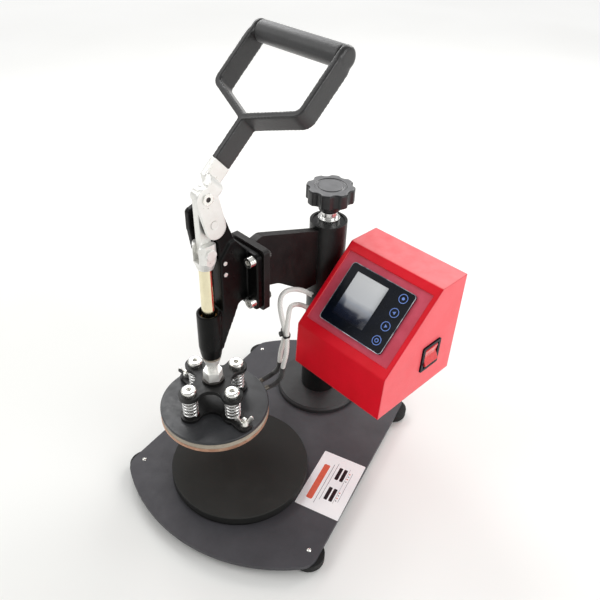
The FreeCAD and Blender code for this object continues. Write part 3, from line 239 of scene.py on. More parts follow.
class Nodes:
    """Short names for building one material's node tree."""

    def __init__(self, name):
        self.material = bpy.data.materials.new(name)
        self.material.use_nodes = True
        self.tree = self.material.node_tree
        self.shader = next(n for n in self.tree.nodes if n.type == "BSDF_PRINCIPLED")

    def add(self, kind, **inputs):
        node = self.tree.nodes.new(kind)
        for key, value in inputs.items():
            self.put(node, key, value)
        return node

    def put(self, node, key, value):
        socket = node.inputs[key]
        if isinstance(value, bpy.types.NodeSocket):
            self.tree.links.new(value, socket)
        else:
            socket.default_value = value

    def coords(self, stretch=(1, 1, 1)):
        place = self.add("ShaderNodeTexCoord")
        spread = self.add("ShaderNodeMapping", Vector=place.outputs["Object"])
        spread.inputs["Scale"].default_value = stretch
        return spread.outputs[0]

    def noise(self, scale, detail=3.0, rough=0.55, stretch=(1, 1, 1)):
        node = self.add("ShaderNodeTexNoise", Vector=self.coords(stretch))
        node.inputs["Scale"].default_value = scale
        node.inputs["Detail"].default_value = detail
        node.inputs["Roughness"].default_value = rough
        return node.outputs[0]

    def ramp(self, value, stops):
        node = self.add("ShaderNodeValToRGB", Fac=value)
        ramp = node.color_ramp
        while len(ramp.elements) < len(stops):
            ramp.elements.new(0.5)
        for element, (at, colour) in zip(ramp.elements, stops):
            element.position = at
            element.color = colour
        return node.outputs[0]

    def span(self, value, low, high, to_low, to_high):
        node = self.add("ShaderNodeMapRange", Value=value)
        node.inputs["From Min"].default_value = low
        node.inputs["From Max"].default_value = high
        node.inputs["To Min"].default_value = to_low
        node.inputs["To Max"].default_value = to_high
        return node.outputs[0]

    def even(self, value, to_low=0.0, to_high=1.0):
        """A noise value spread over a range."""
        return self.span(value, NOISE_LOW, NOISE_HIGH, to_low, to_high)

    def math(self, kind, a, b=0.0):
        node = self.add("ShaderNodeMath")
        node.operation = kind
        self.put(node, 0, a)
        self.put(node, 1, b)
        return node.outputs[0]

    def facing(self, normal, side):
        """How far a normal faces a side: 1 when it points straight there."""
        dot = self.add("ShaderNodeVectorMath", Vector=normal)
        dot.operation = "DOT_PRODUCT"
        self.put(dot, 1, side)
        return dot.outputs["Value"]

    def normal_z(self):
        ground = self.add("ShaderNodeNewGeometry")
        return self.add("ShaderNodeSeparateXYZ", Vector=ground.outputs["Normal"]).outputs[2]

    def mix(self, share, a, b):
        node = self.add("ShaderNodeMix")
        node.data_type = "RGBA"
        self.put(node, 0, share)
        self.put(node, 6, a)
        self.put(node, 7, b)
        return node.outputs[2]

    def edge(self, width):
        """1 along edges and 0 on flat ground."""
        ground = self.add("ShaderNodeNewGeometry")
        return self.span(self.facing(self.round_edges(width), ground.outputs["Normal"]), 0.97, 0.75, 0.0, 1.0)

    def bump(self, height, strength, distance, normal=None):
        node = self.add("ShaderNodeBump", Height=height)
        node.inputs["Strength"].default_value = strength
        node.inputs["Distance"].default_value = distance
        if normal is not None:
            self.put(node, "Normal", normal)
        return node.outputs[0]

    def round_edges(self, radius):
        bevel = self.add("ShaderNodeBevel")
        bevel.samples = 6
        bevel.inputs["Radius"].default_value = radius
        return bevel.outputs[0]

    def set(self, **values):
        for key, value in values.items():
            self.put(self.shader, key.replace("_", " "), value)


def coated(name, light, dark, rough=(0.4, 0.55), grain=0.0006, grain_depth=0.00008, patch=0.02,
           edge_colour=None, edge_width=0.0009, edge_share=0.5, specular=0.5, rounding=0.0006, scratches=0.0,
           orange=0.0, sheen=0.0, top_highlight=0.0, top_highlight_colour=None, side_highlight=0.0, highlight_side=None, side_highlight_colour=None):
    """Paint, powder coat, rubber or moulded plastic: mottled colour, uneven gloss, fine grain and an edge
    colour: wear on most finishes, a painted highlight on the red box and a painted shadow on the post flange.

    Faces that look up can be mixed toward a paler colour, a painted highlight, and the faces that look to one
    given side toward another, painted light from that side.
    """
    n = Nodes(name)
    mottled = n.noise(1 / patch, 4.0, 0.6)
    fine = n.noise(1 / grain, 2.0, 0.6)
    colour = n.mix(n.even(mottled), dark, light)
    # On the red box the edge colour is a painted highlight along the bends, and on the post flange a painted
    # shadow round the rim; on the other finishes it stands for worn edges.
    if edge_colour is not None:
        worn = n.math("MULTIPLY", n.edge(edge_width), n.span(n.noise(1 / 0.006, 3.0), 0.35, 0.6, 0.3, 1.0))
        colour = n.mix(n.math("MULTIPLY", worn, edge_share), colour, edge_colour)
    # Painted highlight: faces that look up are mixed toward a paler colour, in patches.
    if top_highlight:
        lies = n.math("MULTIPLY", n.span(n.normal_z(), 0.8, 0.98, 0.0, top_highlight),
                      n.even(n.noise(1 / 0.014, 5.0), 0.7, 1.0))
        colour = n.mix(lies, colour, top_highlight_colour)
    # Painted light from one side: faces that look to the given side are mixed toward a paler colour.
    if side_highlight:
        there = n.facing(n.add("ShaderNodeTexCoord").outputs["Normal"], highlight_side)
        side_lit = n.math("MULTIPLY", n.span(there, 0.8, 0.98, 0.0, side_highlight),
                          n.even(n.noise(1 / 0.03, 4.0), 0.85, 1.0))
        colour = n.mix(side_lit, colour, side_highlight_colour)
    n.set(Base_Color=colour)
    gloss = n.even(n.noise(1 / (patch * 0.4), 5.0, 0.65), rough[0], rough[1])
    if scratches:
        streaks = n.noise(1 / 0.004, 3.0, 0.6, (0.08, 1.0, 1.0))
        gloss = n.math("ADD", gloss, n.span(streaks, 0.62, 0.75, 0.0, scratches))
    n.set(Roughness=gloss)
    normal = n.round_edges(rounding) if rounding else None
    if orange:
        normal = n.bump(n.noise(1 / 0.0022, 2.0, 0.5), orange, 0.0002, normal)
    n.set(Normal=n.bump(fine, 0.6, grain_depth, normal))
    n.set(Specular_IOR_Level=specular)
    if sheen:
        n.set(Sheen_Weight=sheen, Sheen_Roughness=0.45)
    return n.material


def metal(name, light, dark, rough=(0.2, 0.35), grain=(1, 1, 1), grain_size=0.0006, depth=0.00003,
          patch=0.012, tarnish=None, tarnish_share=0.35, metallic=1.0):
    """Plated, turned or brushed metal with uneven plating and fine tool marks."""
    n = Nodes(name)
    patches = n.noise(1 / patch, 5.0, 0.62)
    colour = n.mix(n.even(patches), dark, light)
    if tarnish is not None:
        spots = n.noise(1 / (patch * 0.5), 6.0, 0.7)
        colour = n.mix(n.math("MULTIPLY", n.span(spots, 0.55, 0.75, 0.0, 1.0), tarnish_share), colour,
                       tarnish)
    n.set(Base_Color=colour, Metallic=metallic)
    marks = n.noise(1 / grain_size, 3.0, 0.6, grain)
    n.set(Roughness=n.span(n.math("ADD", n.math("MULTIPLY", patches, 0.6), n.math("MULTIPLY", marks, 0.4)),
                           0.35, 0.65, rough[0], rough[1]))
    n.set(Normal=n.bump(marks, 0.5, depth, n.round_edges(0.0005)))
    return n.material


def braided(name, light, dark, pitch, depth, rough):
    """A braided sleeve: two families of strands crossing on the tube's own lay."""
    n = Nodes(name)
    lay = n.add("ShaderNodeUVMap")
    lay.uv_map = "lay"
    split = n.add("ShaderNodeSeparateXYZ", Vector=lay.outputs[0])
    around, along = split.outputs[0], split.outputs[1]
    strands = []
    for way in ("ADD", "SUBTRACT"):
        turns = n.math(way, n.math("MULTIPLY", around, pitch), n.math("MULTIPLY", along, pitch))
        strands.append(n.math("SINE", n.math("MULTIPLY", turns, math.tau)))
    weave = n.math("MAXIMUM", *strands)
    fuzz = n.noise(1 / 0.0012, 4.0, 0.7)
    height = n.math("ADD", n.math("MULTIPLY", weave, 0.5), n.math("MULTIPLY", fuzz, 0.35))
    # Painted shade: darker where the weave lies low, between the strands.
    colour = n.mix(n.span(height, -0.2, 0.7, 0.0, 1.0), dark, light)
    n.set(Base_Color=colour, Roughness=n.even(fuzz, rough[0], rough[1]))
    n.set(Normal=n.bump(height, 0.9, depth))
    n.set(Sheen_Weight=0.25)
    return n.material


M = {}
M["wire"] = braided("white_glass_braid", srgb(253, 252, 248), srgb(228, 226, 219), 6, 0.00035, (0.75, 0.95))
M["sleeve"] = braided("black_heat_braid", srgb(52, 50, 50), srgb(20, 20, 20), 7, 0.0003, (0.5, 0.75))


def cord(name, route, diameter, finish, stands_for, swell=None):
    """A cord between the swing head and the plunger."""
    line = spline_points(name + "_line", route)
    piece = show(name, tube_mesh(name, line, diameter / 2, swell=swell), None, M[finish],
                 stands_for)
    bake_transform(piece)


def uneven(share):
    """A heat sleeve's slight waves."""
    return 1.0 + 0.03 * math.sin(share * 17)


def heater_cords():
    for k in range(2):
        cord(f"heater_wire_{k + 1}", WIRE_ROUTES[k], WIRE_D, "wire", ["heater_wires"] if k == 0 else [])
        cord(f"heat_sleeve_{k + 1}", SLEEVE_ROUTES[k], SLEEVE_D, "sleeve", ["heat_sleeves"] if k == 0 else [],
             uneven)


heater_cords()


# Light, floor and world

WORLD_STRENGTH = 0.5
FLOOR_Z = -0.0121  # metres, just under the feet
FLOOR_HALF = 9  # metres
LAMP_TO = (0, -0.05, 0.15)  # metres


def softbox(name, at, to, wide, tall, power, tint=(1, 1, 1)):
    """A rectangular lamp; its place and size are in metres."""
    data = bpy.data.lights.new(name, "AREA")
    data.shape = "RECTANGLE"
    data.size = wide
    data.size_y = tall
    data.energy = power
    data.color = tint
    lamp = bpy.data.objects.new(name, data)
    scene.collection.objects.link(lamp)
    lamp.location = at
    lamp.rotation_euler = (Vector(to) - Vector(at)).to_track_quat("-Z", "Y").to_euler()


def pale_floor():
    """A pale floor that turns to white with the distance, for the camera and in reflections only."""
    n = Nodes("pale_floor")
    soft = n.noise(1 / 0.4, 2.0)
    n.set(Base_Color=n.mix(n.even(soft), srgb(240, 240, 237), srgb(244, 244, 242)),
          Roughness=n.even(soft, 0.6, 0.7))
    n.set(Normal=n.bump(n.noise(1 / 0.01, 2.0), 0.05, 0.0001))
    path = n.add("ShaderNodeLightPath")
    seen = n.math("MAXIMUM", path.outputs["Is Camera Ray"],
                  n.math("MAXIMUM", path.outputs["Is Glossy Ray"], path.outputs["Is Transmission Ray"]))
    n.set(Emission_Color=(1.0, 1.0, 1.0, 1))
    far = n.add("ShaderNodeVectorMath", Vector=n.coords())
    far.operation = "LENGTH"
    n.set(Emission_Strength=n.math("MULTIPLY", seen, n.span(far.outputs["Value"], 0.5, 2.4, 0.0, 0.45)))
    mesh = bpy.data.meshes.new("floor")
    corners = [(x * FLOOR_HALF, y * FLOOR_HALF, FLOOR_Z) for x, y in ((-1, -1), (1, -1), (1, 1), (-1, 1))]
    mesh.from_pydata(corners, [], [(0, 1, 2, 3)])
    mesh.materials.append(n.material)
    floor = bpy.data.objects.new("floor", mesh)
    scene.collection.objects.link(floor)


def studio():
    world = bpy.data.worlds.new("studio")
    scene.world = world
    world.use_nodes = True
    back = world.node_tree.nodes["Background"]
    back.inputs["Color"].default_value = (1.0, 1.0, 1.0, 1)
    back.inputs["Strength"].default_value = WORLD_STRENGTH
    pale_floor()
    softbox("key_behind", (0.25, 1.3, 1.2), LAMP_TO, 1.0, 0.8, 13.0, (1.0, 1.0, 0.99))
    softbox("left", (-0.95, 0.55, 1.25), LAMP_TO, 0.8, 0.7, 7.5)
    softbox("front_left", (-1.1, -0.9, 1.3), (0, -0.1, 0.2), 1.0, 1.0, 7.2, (1.0, 1.0, 0.99))
    softbox("side_right", (1.4, -0.15, 0.8), (0.05, 0, 0.15), 0.9, 0.9, 8.8)


studio()


# Finishes

M["charcoal"] = coated("charcoal_powder_coat", srgb(76, 75, 79), srgb(67, 66, 70), rough=(0.42, 0.56),
                       grain=0.0009, grain_depth=0.00012, patch=0.03, edge_colour=srgb(104, 102, 104),
                       edge_share=0.45, specular=0.3, orange=0.25)
M["black_paint"] = coated("black_paint", srgb(26, 26, 26), srgb(15, 15, 15), rough=(0.3, 0.46), grain=0.0012,
                          patch=0.02, edge_colour=srgb(92, 90, 88), edge_share=0.4, orange=0.35,
                          scratches=0.1, specular=0.35)
# The dark edge colour is a painted shadow round the post flange's rim.
M["flange_paint"] = coated("flange_paint", srgb(54, 53, 54), srgb(44, 43, 44), rough=(0.4, 0.55), grain=0.001,
                           patch=0.015, edge_colour=srgb(22, 22, 22), edge_share=0.6, edge_width=0.0014,
                           orange=0.3)
M["arm_paint"] = coated("arm_paint", srgb(40, 35, 34), srgb(20, 18, 18), rough=(0.36, 0.52), grain=0.0012,
                        patch=0.03, edge_colour=srgb(98, 96, 96), edge_share=0.5, orange=0.4, specular=0.3)
M["casting"] = coated("gloss_black_casting", srgb(10, 10, 10), srgb(4, 4, 4), rough=(0.26, 0.36),
                      grain=0.0016, grain_depth=0.00004, patch=0.012, orange=0.15, specular=0.14, rounding=0)
# Box paint: the pale pink on faces that look up is a painted highlight, the salmon on faces that look right
# is painted light from that side, and the pink edge colour is a painted highlight along the bends.
M["red"] = coated("red_powder_coat", srgb(242, 0, 36), srgb(230, 0, 28), rough=(0.34, 0.46), grain=0.0011,
                  grain_depth=0.00009, patch=0.035, edge_colour=srgb(238, 84, 100), edge_share=0.55,
                  edge_width=0.0018, orange=0.3, specular=0.2, rounding=0.0024, sheen=0.08, top_highlight=0.5,
                  top_highlight_colour=srgb(255, 176, 178), side_highlight=0.6, highlight_side=(0.964, -0.266, 0.0),
                  side_highlight_colour=srgb(252, 128, 134))
M["panel_red"] = coated("matt_red_panel", srgb(224, 84, 108), srgb(210, 68, 90), rough=(0.5, 0.62),
                        grain=0.0008, patch=0.02, edge_colour=srgb(214, 110, 120), edge_share=0.4,
                        orange=0.25, sheen=0.3, specular=0.35)
M["zinc"] = metal("bright_zinc", srgb(250, 249, 245), srgb(226, 225, 219), rough=(0.16, 0.32),
                  tarnish=srgb(176, 160, 140), patch=0.006)
M["zinc_plate"] = metal("zinc_plated_steel", srgb(247, 247, 244), srgb(236, 235, 230), metallic=0.55,
                        rough=(0.26, 0.42), tarnish=srgb(196, 188, 172), tarnish_share=0.25, patch=0.009,
                        grain=(1.0, 0.12, 1.0), grain_size=0.0009)
M["chrome"] = metal("polished_chrome", srgb(232, 232, 230), srgb(222, 222, 220), rough=(0.2, 0.3),
                    depth=0.00001)
M["rod"] = metal("ground_rod", srgb(244, 236, 204), srgb(230, 221, 188), rough=(0.14, 0.24), grain=(1, 1, 14),
                 grain_size=0.002, depth=0.00001)
M["dark_steel"] = metal("black_oxide_steel", srgb(88, 86, 84), srgb(60, 58, 57), rough=(0.35, 0.5))
M["steel"] = metal("turned_steel", srgb(196, 196, 194), srgb(168, 168, 166), rough=(0.2, 0.34),
                   grain=(1, 1, 12))
M["spring"] = metal("spring_wire", srgb(240, 240, 238), srgb(206, 206, 206), rough=(0.14, 0.28), patch=0.004,
                    grain_size=0.0005)
M["bronze"] = metal("sintered_bronze", srgb(188, 142, 92), srgb(150, 108, 66), rough=(0.35, 0.5))
M["rubber"] = coated("moulded_rubber", srgb(34, 34, 34), srgb(22, 22, 22), rough=(0.6, 0.8), grain=0.0012,
                     patch=0.008, edge_colour=srgb(66, 66, 66), edge_share=0.35, specular=0.35)
M["dip"] = coated("dipped_vinyl", srgb(36, 35, 36), srgb(26, 26, 26), rough=(0.28, 0.4), grain=0.0018,
                  grain_depth=0.00008, patch=0.015, orange=0.3, rounding=0, specular=0.55, sheen=0.35)
M["grip"] = coated("grip_sleeve", srgb(44, 44, 45), srgb(35, 35, 36), rough=(0.36, 0.5), grain=0.0011,
                   grain_depth=0.0001, patch=0.01, orange=0.4, rounding=0, sheen=0.6)
# The light grey on the knob's faces that look up is a painted highlight.
M["knob"] = coated("moulded_knob", srgb(30, 30, 32), srgb(18, 18, 20), rough=(0.32, 0.42), grain=0.0012,
                   patch=0.008, orange=0.3, rounding=0, top_highlight=0.6, top_highlight_colour=srgb(160, 160, 162))
M["black_plastic"] = coated("black_plastic", srgb(10, 17, 30), srgb(5, 9, 17), rough=(0.2, 0.3), grain=0.0015,
                            grain_depth=0.00003, patch=0.02, edge_colour=srgb(54, 64, 80), edge_share=0.25,
                            specular=0.1)
M["nylon"] = coated("black_nylon", srgb(40, 40, 40), srgb(28, 28, 28), rough=(0.4, 0.55), patch=0.006,
                    edge_colour=srgb(80, 80, 80), edge_share=0.3)
M["relay"] = coated("relay_case", srgb(60, 60, 64), srgb(48, 48, 52), rough=(0.4, 0.5))
M["board"] = coated("circuit_board", srgb(26, 96, 56), srgb(18, 74, 42), rough=(0.3, 0.4), patch=0.004)
M["brass"] = metal("brass_blades", srgb(214, 176, 108), srgb(188, 150, 88), rough=(0.2, 0.3))
M["heater"] = metal("tubular_element", srgb(120, 116, 108), srgb(92, 88, 82), rough=(0.4, 0.55))


def platen_top_material():
    """Grey-black coated sheet with a worn rim."""
    n = Nodes("platen_cover_coat")
    mottled = n.noise(1 / 0.02, 4.0, 0.6)
    colour = n.mix(n.even(mottled), srgb(48, 49, 51), srgb(60, 61, 64))
    worn = n.math("MULTIPLY", n.edge(0.0009), 0.5)
    colour = n.mix(worn, colour, srgb(112, 106, 98))
    n.set(Base_Color=colour, Roughness=n.even(n.noise(1 / 0.008, 4.0), 0.3, 0.46))
    n.set(Normal=n.bump(n.noise(1 / 0.001, 2.0), 0.5, 0.00006, n.round_edges(0.0006)))
    return n.material


def insulation_material():
    """Pressed mineral board seen edge-on: thin layers with loose fibres."""
    n = Nodes("mineral_board")
    layers = n.noise(1 / 0.0011, 3.0, 0.7, (0.06, 0.06, 1.0))
    fibres = n.noise(1 / 0.0022, 5.0, 0.75)
    shade = n.math("ADD", n.math("MULTIPLY", layers, 0.6), n.math("MULTIPLY", fibres, 0.4))
    n.set(Base_Color=n.ramp(shade, [(0.3, srgb(140, 130, 116)), (0.5, srgb(176, 166, 150)),
                                    (0.72, srgb(198, 189, 172))]),
          Roughness=n.even(fibres, 0.75, 0.95))
    n.set(Normal=n.bump(shade, 0.8, 0.0004))
    return n.material


def platen_metal_material():
    n = Nodes("coated_alloy_platen")
    patches = n.noise(1 / 0.01, 5.0, 0.65)
    colour = n.ramp(patches, [(0.3, srgb(186, 138, 112)), (0.5, srgb(206, 160, 134)),
                              (0.7, srgb(216, 178, 152))])
    n.set(Base_Color=colour, Metallic=0.55, Roughness=n.even(patches, 0.34, 0.52))
    n.set(Normal=n.bump(n.noise(1 / 0.0012, 3.0), 0.5, 0.00006, n.round_edges(0.0006)))
    return n.material


def silicone_material():
    """Matt heat-proof pad: an open cell grain, a dusty mottle on top, and darker sides, which are painted
    shade.
    """
    n = Nodes("silicone_pad")
    up = n.normal_z()
    dusty = n.noise(1 / 0.018, 5.0, 0.62)
    top = n.ramp(dusty, [(0.3, srgb(40, 40, 38)), (0.55, srgb(45, 45, 43)), (0.75, srgb(51, 51, 49))])
    shaded_wall = n.mix(n.noise(1 / 0.004, 3.0), srgb(22, 22, 21), srgb(34, 34, 33))
    # Painted shade: faces that don't look up get the darker side colour.
    n.set(Base_Color=n.mix(n.span(up, 0.2, 0.9, 0.0, 1.0), shaded_wall, top),
          Roughness=n.even(dusty, 0.62, 0.8))
    cells = n.noise(1 / 0.0014, 4.0, 0.7)
    n.set(Normal=n.bump(cells, 0.7, 0.00012))
    n.set(Specular_IOR_Level=0.35)
    return n.material


M["platen_top"] = platen_top_material()
M["insulation"] = insulation_material()
M["platen_metal"] = platen_metal_material()
M["silicone"] = silicone_material()

FINISH = {
    "base_plate": "charcoal", "rubber_feet": "rubber", "foot_screws": "zinc", "base_screws": "zinc",
    "pad_carrier": "black_paint", "silicone_pad": "silicone", "post_flange": "flange_paint",
    "post_column": "steel", "post_collar": "black_paint", "swing_sleeve": "black_paint",
    "sleeve_bushes": "bronze", "sleeve_plug": "black_paint", "knob_collar": "chrome",
    "swing_arm": "arm_paint", "arm_flange": "arm_paint", "head_casting": "casting", "casting_bolts": "zinc",
    "web_screws": "zinc_plate", "guide_bush": "bronze", "lever_pivot_pins": "zinc_plate", "box_shell": "red",
    "box_back_cover": "red", "box_screws": "zinc", "box_bracket": "black_paint", "panel_plate": "panel_red",
    "controller_bezel": "black_plastic", "controller_board": "board", "switch_bezel": "black_plastic",
    "power_inlet": "black_plastic", "heater_relay": "relay", "wire_glands": "nylon", "lock_knob": "knob",
    "lever_fork": "zinc_plate", "eye_pins": "zinc", "plunger_rod": "rod", "rod_clevis": "zinc_plate",
    "clevis_pin": "zinc_plate", "spindle": "zinc_plate", "lock_nut": "zinc_plate",
    "spindle_washer": "dark_steel", "spider_plate": "black_paint", "spring_screws": "zinc",
    "lower_bracket": "black_paint", "clamp_studs": "zinc", "platen_cover": "platen_top",
    "insulation_disc": "insulation", "heating_platen": "platen_metal", "heater_element": "heater",
    "toggle_link": "zinc_plate",
}


def paint(node, material):
    data = nodes[node].data
    data.materials.clear()
    data.materials.append(material)


for node_name, key in FINISH.items():
    paint(node_name, M[key])


def paint_part(node, material, belongs):
    """A second material on the faces whose middle, in the swing arm's millimetres, belongs to a part."""
    obj = nodes[node]
    obj.data.materials.append(material)
    back = SWUNG.inverted() @ obj.matrix_world
    for poly in obj.data.polygons:
        if belongs(back @ poly.center * 1000):
            poly.material_index = len(obj.data.materials) - 1


NUT_SIDE_Y = -122.0  # the bolts' nuts lie behind this
PIN_HEAD_X = 12.5  # the eye pin's head lies beyond this
DIMPLE_R = 2.52
BLADE_Y = 36.7  # the inlet's blades lie behind this
BLADE_HALF = (2.5, 4.3)
BLADES = ((126.5, 130.0), (140.5, 130.0), (133.5, 134.5))


def is_nut(p):
    return p.y > NUT_SIDE_Y


def is_shaded_dimple(p):
    return p.x > PIN_HEAD_X and math.hypot(p.y - EYE_Y, p.z - EYE_Z) < DIMPLE_R


def is_blade(p):
    wide, tall = BLADE_HALF
    return p.y > BLADE_Y and any(abs(p.x - x) < wide and abs(p.z - z) < tall for x, z in BLADES)


paint_part("casting_bolts", M["dark_steel"], is_nut)
# Painted shade: the dimple in the eye pin's head gets the dark steel finish.
paint_part("eye_pins", M["dark_steel"], is_shaded_dimple)
paint_part("power_inlet", M["brass"], is_blade)


def softened(node, name, voxel, rounds, material):
    """A copy of a CAD node with its edges rounded over, as dipping, casting or moulding leaves them."""
    mesh = nodes[node].data.copy()
    bm = bmesh.new()
    bm.from_mesh(mesh)
    bmesh.ops.remove_doubles(bm, verts=bm.verts, dist=1e-6)
    bm.to_mesh(mesh)
    bm.free()
    holder = bpy.data.objects.new(name + "_raw", mesh)
    scene.collection.objects.link(holder)
    remesh = holder.modifiers.new("grid", "REMESH")
    remesh.mode = "VOXEL"
    remesh.voxel_size = voxel
    smooth = holder.modifiers.new("round", "SMOOTH")
    smooth.factor = 0.5
    smooth.iterations = rounds
    bpy.context.view_layer.update()
    made = bpy.data.meshes.new_from_object(holder.evaluated_get(bpy.context.evaluated_depsgraph_get()))
    made.name = name
    bpy.data.objects.remove(holder)
    for poly in made.polygons:
        poly.use_smooth = True
    show(name, made, nodes[node]["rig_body"], material, [node])


softened("handle_frame", "dipped_handle", 0.0009, 14, M["dip"])
softened("handle_grip", "grip_sleeve", 0.0009, 16, M["grip"])
softened("lock_knob", "star_knob", 0.0006, 5, M["knob"])
softened("head_casting", "cast_head", 0.0009, 7, M["casting"])
softened("lever_fork", "forged_fork", 0.0005, 4, M["zinc_plate"])
softened("wing_nuts", "pressed_wing_nuts", 0.00035, 4, M["zinc"])


# Springs

COUNT = 4  # springs, and screws through them
CIRCLE_R = 33.5  # from the plunger's axis to each spring's
SPRING_LOW, SPRING_HIGH = 92.1, 118.9
SPRING_R = 7.7
SPRING_WIRE = 2.6
SPRING_TURNS = 6


def spring_spot(k):
    """The place of one of the four springs, in the swing arm's millimetres."""
    a = math.radians(360 / COUNT * k)
    return CIRCLE_R * math.cos(a), HEAD_Y + CIRCLE_R * math.sin(a)


def helix_line(x, y, low, high, mean_r, wire, turns):
    """Squared ends: half a turn lies flat at each end, and the rest rises evenly."""
    z0, z1 = low + wire / 2, high - wire / 2
    flat = 0.55
    steps = 40 * turns
    line = []
    for k in range(steps + 1):
        t = turns * k / steps
        share = (t - flat) / (turns - 2 * flat)
        share = min(1.0, max(0.0, share))
        eased = share + 0.012 * math.sin(math.tau * share)
        z = z0 + (z1 - z0) * eased
        a = math.tau * t
        line.append(swung((x + mean_r * math.cos(a), y + mean_r * math.sin(a), z)))
    return line


def springs():
    bm = bmesh.new()
    for k in range(COUNT):
        line = helix_line(*spring_spot(k), SPRING_LOW, SPRING_HIGH, SPRING_R, SPRING_WIRE, SPRING_TURNS)
        part = tube_mesh("spring_part", line, SPRING_WIRE / 2000, 14)
        bm.from_mesh(part)
        bpy.data.meshes.remove(part)
    mesh = bpy.data.meshes.new("platen_coils")
    bm.to_mesh(mesh)
    bm.free()
    coils = show("platen_coils", mesh, "plunger", M["spring"], ["platen_springs"])
    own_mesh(coils)


springs()


# Card

def rounded_outline(x0, x1, y0, y1, r, steps=6):
    """The points of a rectangle with round corners."""
    spots = []
    for cx, cy, a0 in ((x1 - r, y1 - r, 0), (x0 + r, y1 - r, 90), (x0 + r, y0 + r, 180),
                       (x1 - r, y0 + r, 270)):
        for k in range(steps + 1):
            a = math.radians(a0 + 90 * k / steps)
            spots.append((cx + r * math.cos(a), cy + r * math.sin(a)))
    return spots


def slab_mesh(name, outline, z0, z1, matrix, bevel=0.0):
    """A plate with the given outline in millimetres, its rim bevelled, placed by a matrix in metres."""
    bm = bmesh.new()
    low = [bm.verts.new((x / 1000, y / 1000, z0 / 1000)) for x, y in outline]
    face = bm.faces.new(low)
    face.normal_update()
    if face.normal.z > 0:
        face.normal_flip()
    made = bmesh.ops.extrude_face_region(bm, geom=[face])
    moved = [g for g in made["geom"] if isinstance(g, bmesh.types.BMVert)]
    bmesh.ops.translate(bm, verts=moved, vec=(0, 0, (z1 - z0) / 1000))
    bmesh.ops.recalc_face_normals(bm, faces=bm.faces)
    if bevel:
        rim = [e for e in bm.edges if all(v.co.z > z1 / 1000 - 1e-7 for v in e.verts)]
        bmesh.ops.bevel(bm, geom=rim, offset=bevel / 1000, segments=2, affect="EDGES", profile=0.5)
    bmesh.ops.transform(bm, matrix=matrix, verts=bm.verts)
    mesh = bpy.data.meshes.new(name)
    bm.to_mesh(mesh)
    bm.free()
    return mesh


def join_meshes(name, meshes):
    bm = bmesh.new()
    for mesh in meshes:
        bm.from_mesh(mesh)
    joined = bpy.data.meshes.new(name)
    bm.to_mesh(joined)
    bm.free()
    for mesh in meshes:
        bpy.data.meshes.remove(mesh)
    return joined


def ink(name, colour):
    """A printed mark with slightly uneven colour."""
    n = Nodes(name)
    patch = n.noise(1 / 0.002, 2.0)
    n.set(Base_Color=n.mix(n.even(patch), colour, tuple(c * 0.85 for c in colour[:3]) + (1,)),
          Roughness=n.even(patch, 0.3, 0.4))
    n.set(Normal=n.bump(patch, 0.1, 0.00002))
    return n.material


CARD_AT = (95.9, -139.7, 0)
CARD_TURN = 3.9  # degrees
CARD_HALF = (27.25, 42.45)
CARD_CORNER = 1.2
CARD_THICK = 0.36
INK_LOW, INK_HIGH = 0.34, 0.39


def card():
    """A plain printed card: its bands, bars and rules stand for print and say nothing."""
    at = Matrix.Translation(deck(CARD_AT)) @ Matrix.Rotation(math.radians(CARD_TURN), 4, "Z")
    n = Nodes("coated_card")
    fibre = n.noise(1 / 0.0015, 4.0, 0.6)
    wave = n.noise(1 / 0.03, 3.0)
    n.set(Base_Color=n.mix(n.even(wave), srgb(248, 248, 250), srgb(254, 254, 254)),
          Roughness=n.even(fibre, 0.3, 0.45))
    n.set(Normal=n.bump(fibre, 0.3, 0.00003))
    half_x, half_y = CARD_HALF
    outline = rounded_outline(-half_x, half_x, -half_y, half_y, CARD_CORNER)
    sheet = slab_mesh("blank_card", outline, 0.0, CARD_THICK, at, 0.12)
    show("blank_card", sheet, "base", n.material, ["info_card"])

    def inks(name, colour, blocks):
        parts = []
        for x0, x1, y0, y1, r in blocks:
            corner = min(r, (x1 - x0) / 2.01, (y1 - y0) / 2.01)
            parts.append(slab_mesh("b", rounded_outline(x0, x1, y0, y1, corner, 4), INK_LOW, INK_HIGH, at))
        show(name, join_meshes(name, parts), "base", ink(name, colour))

    inks("card_band", srgb(232, 104, 78), [(-19.0, -11.5, -30.0, 24.0, 2.0)]
         + [(13.6, 15.2, y, y + 1.6, 0.4) for y in (-16.0, -8.0, 14.0, 22.0)])
    bars = [(x, x + 4.4, y, y + 19.0, 1.2) for x in (0.0, 6.2) for y in (-23.0, 8.0)]
    inks("card_bars", srgb(18, 17, 22), bars)
    rules = [(-8.0, -7.3, -33.0, 28.0, 0.3), (-3.8, -3.2, -26.0, 32.0, 0.3), (12.4, 12.8, -24.0, 30.0, 0.1),
             (17.0, 17.5, -20.0, 26.0, 0.2)]
    rules += [(13.6, 15.2, y, y + 1.6, 0.4) for y in (-20.0, -12.0, 10.0, 18.0)]
    inks("card_rules", srgb(150, 150, 156), rules)


card()


# Control panel

# The y and z of the sloping front's lower and upper edge, in the swing arm's millimetres
SLANT_LOW = (-74.9, 168.7)
SLANT_HIGH = (7.9, 246.2)
# Places on the sloping front, in its own millimetres
WINDOW = (61.1, 105.9, -81.9, -27.7)
FILM = (49.7, 139.3, -94.3, -19.7)
FILM_RIM = 0.65
FILM_CORNER = 4.2
KEY_X = 127.0
KEY_ROWS = (-29.6, -47.4, -64.4, -82.1)
PRINT_LOW, PRINT_HIGH = 0.98, 1.25


def on_slant():
    """From the sloping front's own axes (X across, Y up the slope, Z outward) to the row frame."""
    low_y, low_z = SLANT_LOW
    high_y, high_z = SLANT_HIGH
    turn = math.atan2(high_z - low_z, high_y - low_y)
    return SWUNG @ Matrix.Translation((0, high_y / 1000, high_z / 1000)) @ Matrix.Rotation(turn, 4, "X")


SLANT = on_slant()


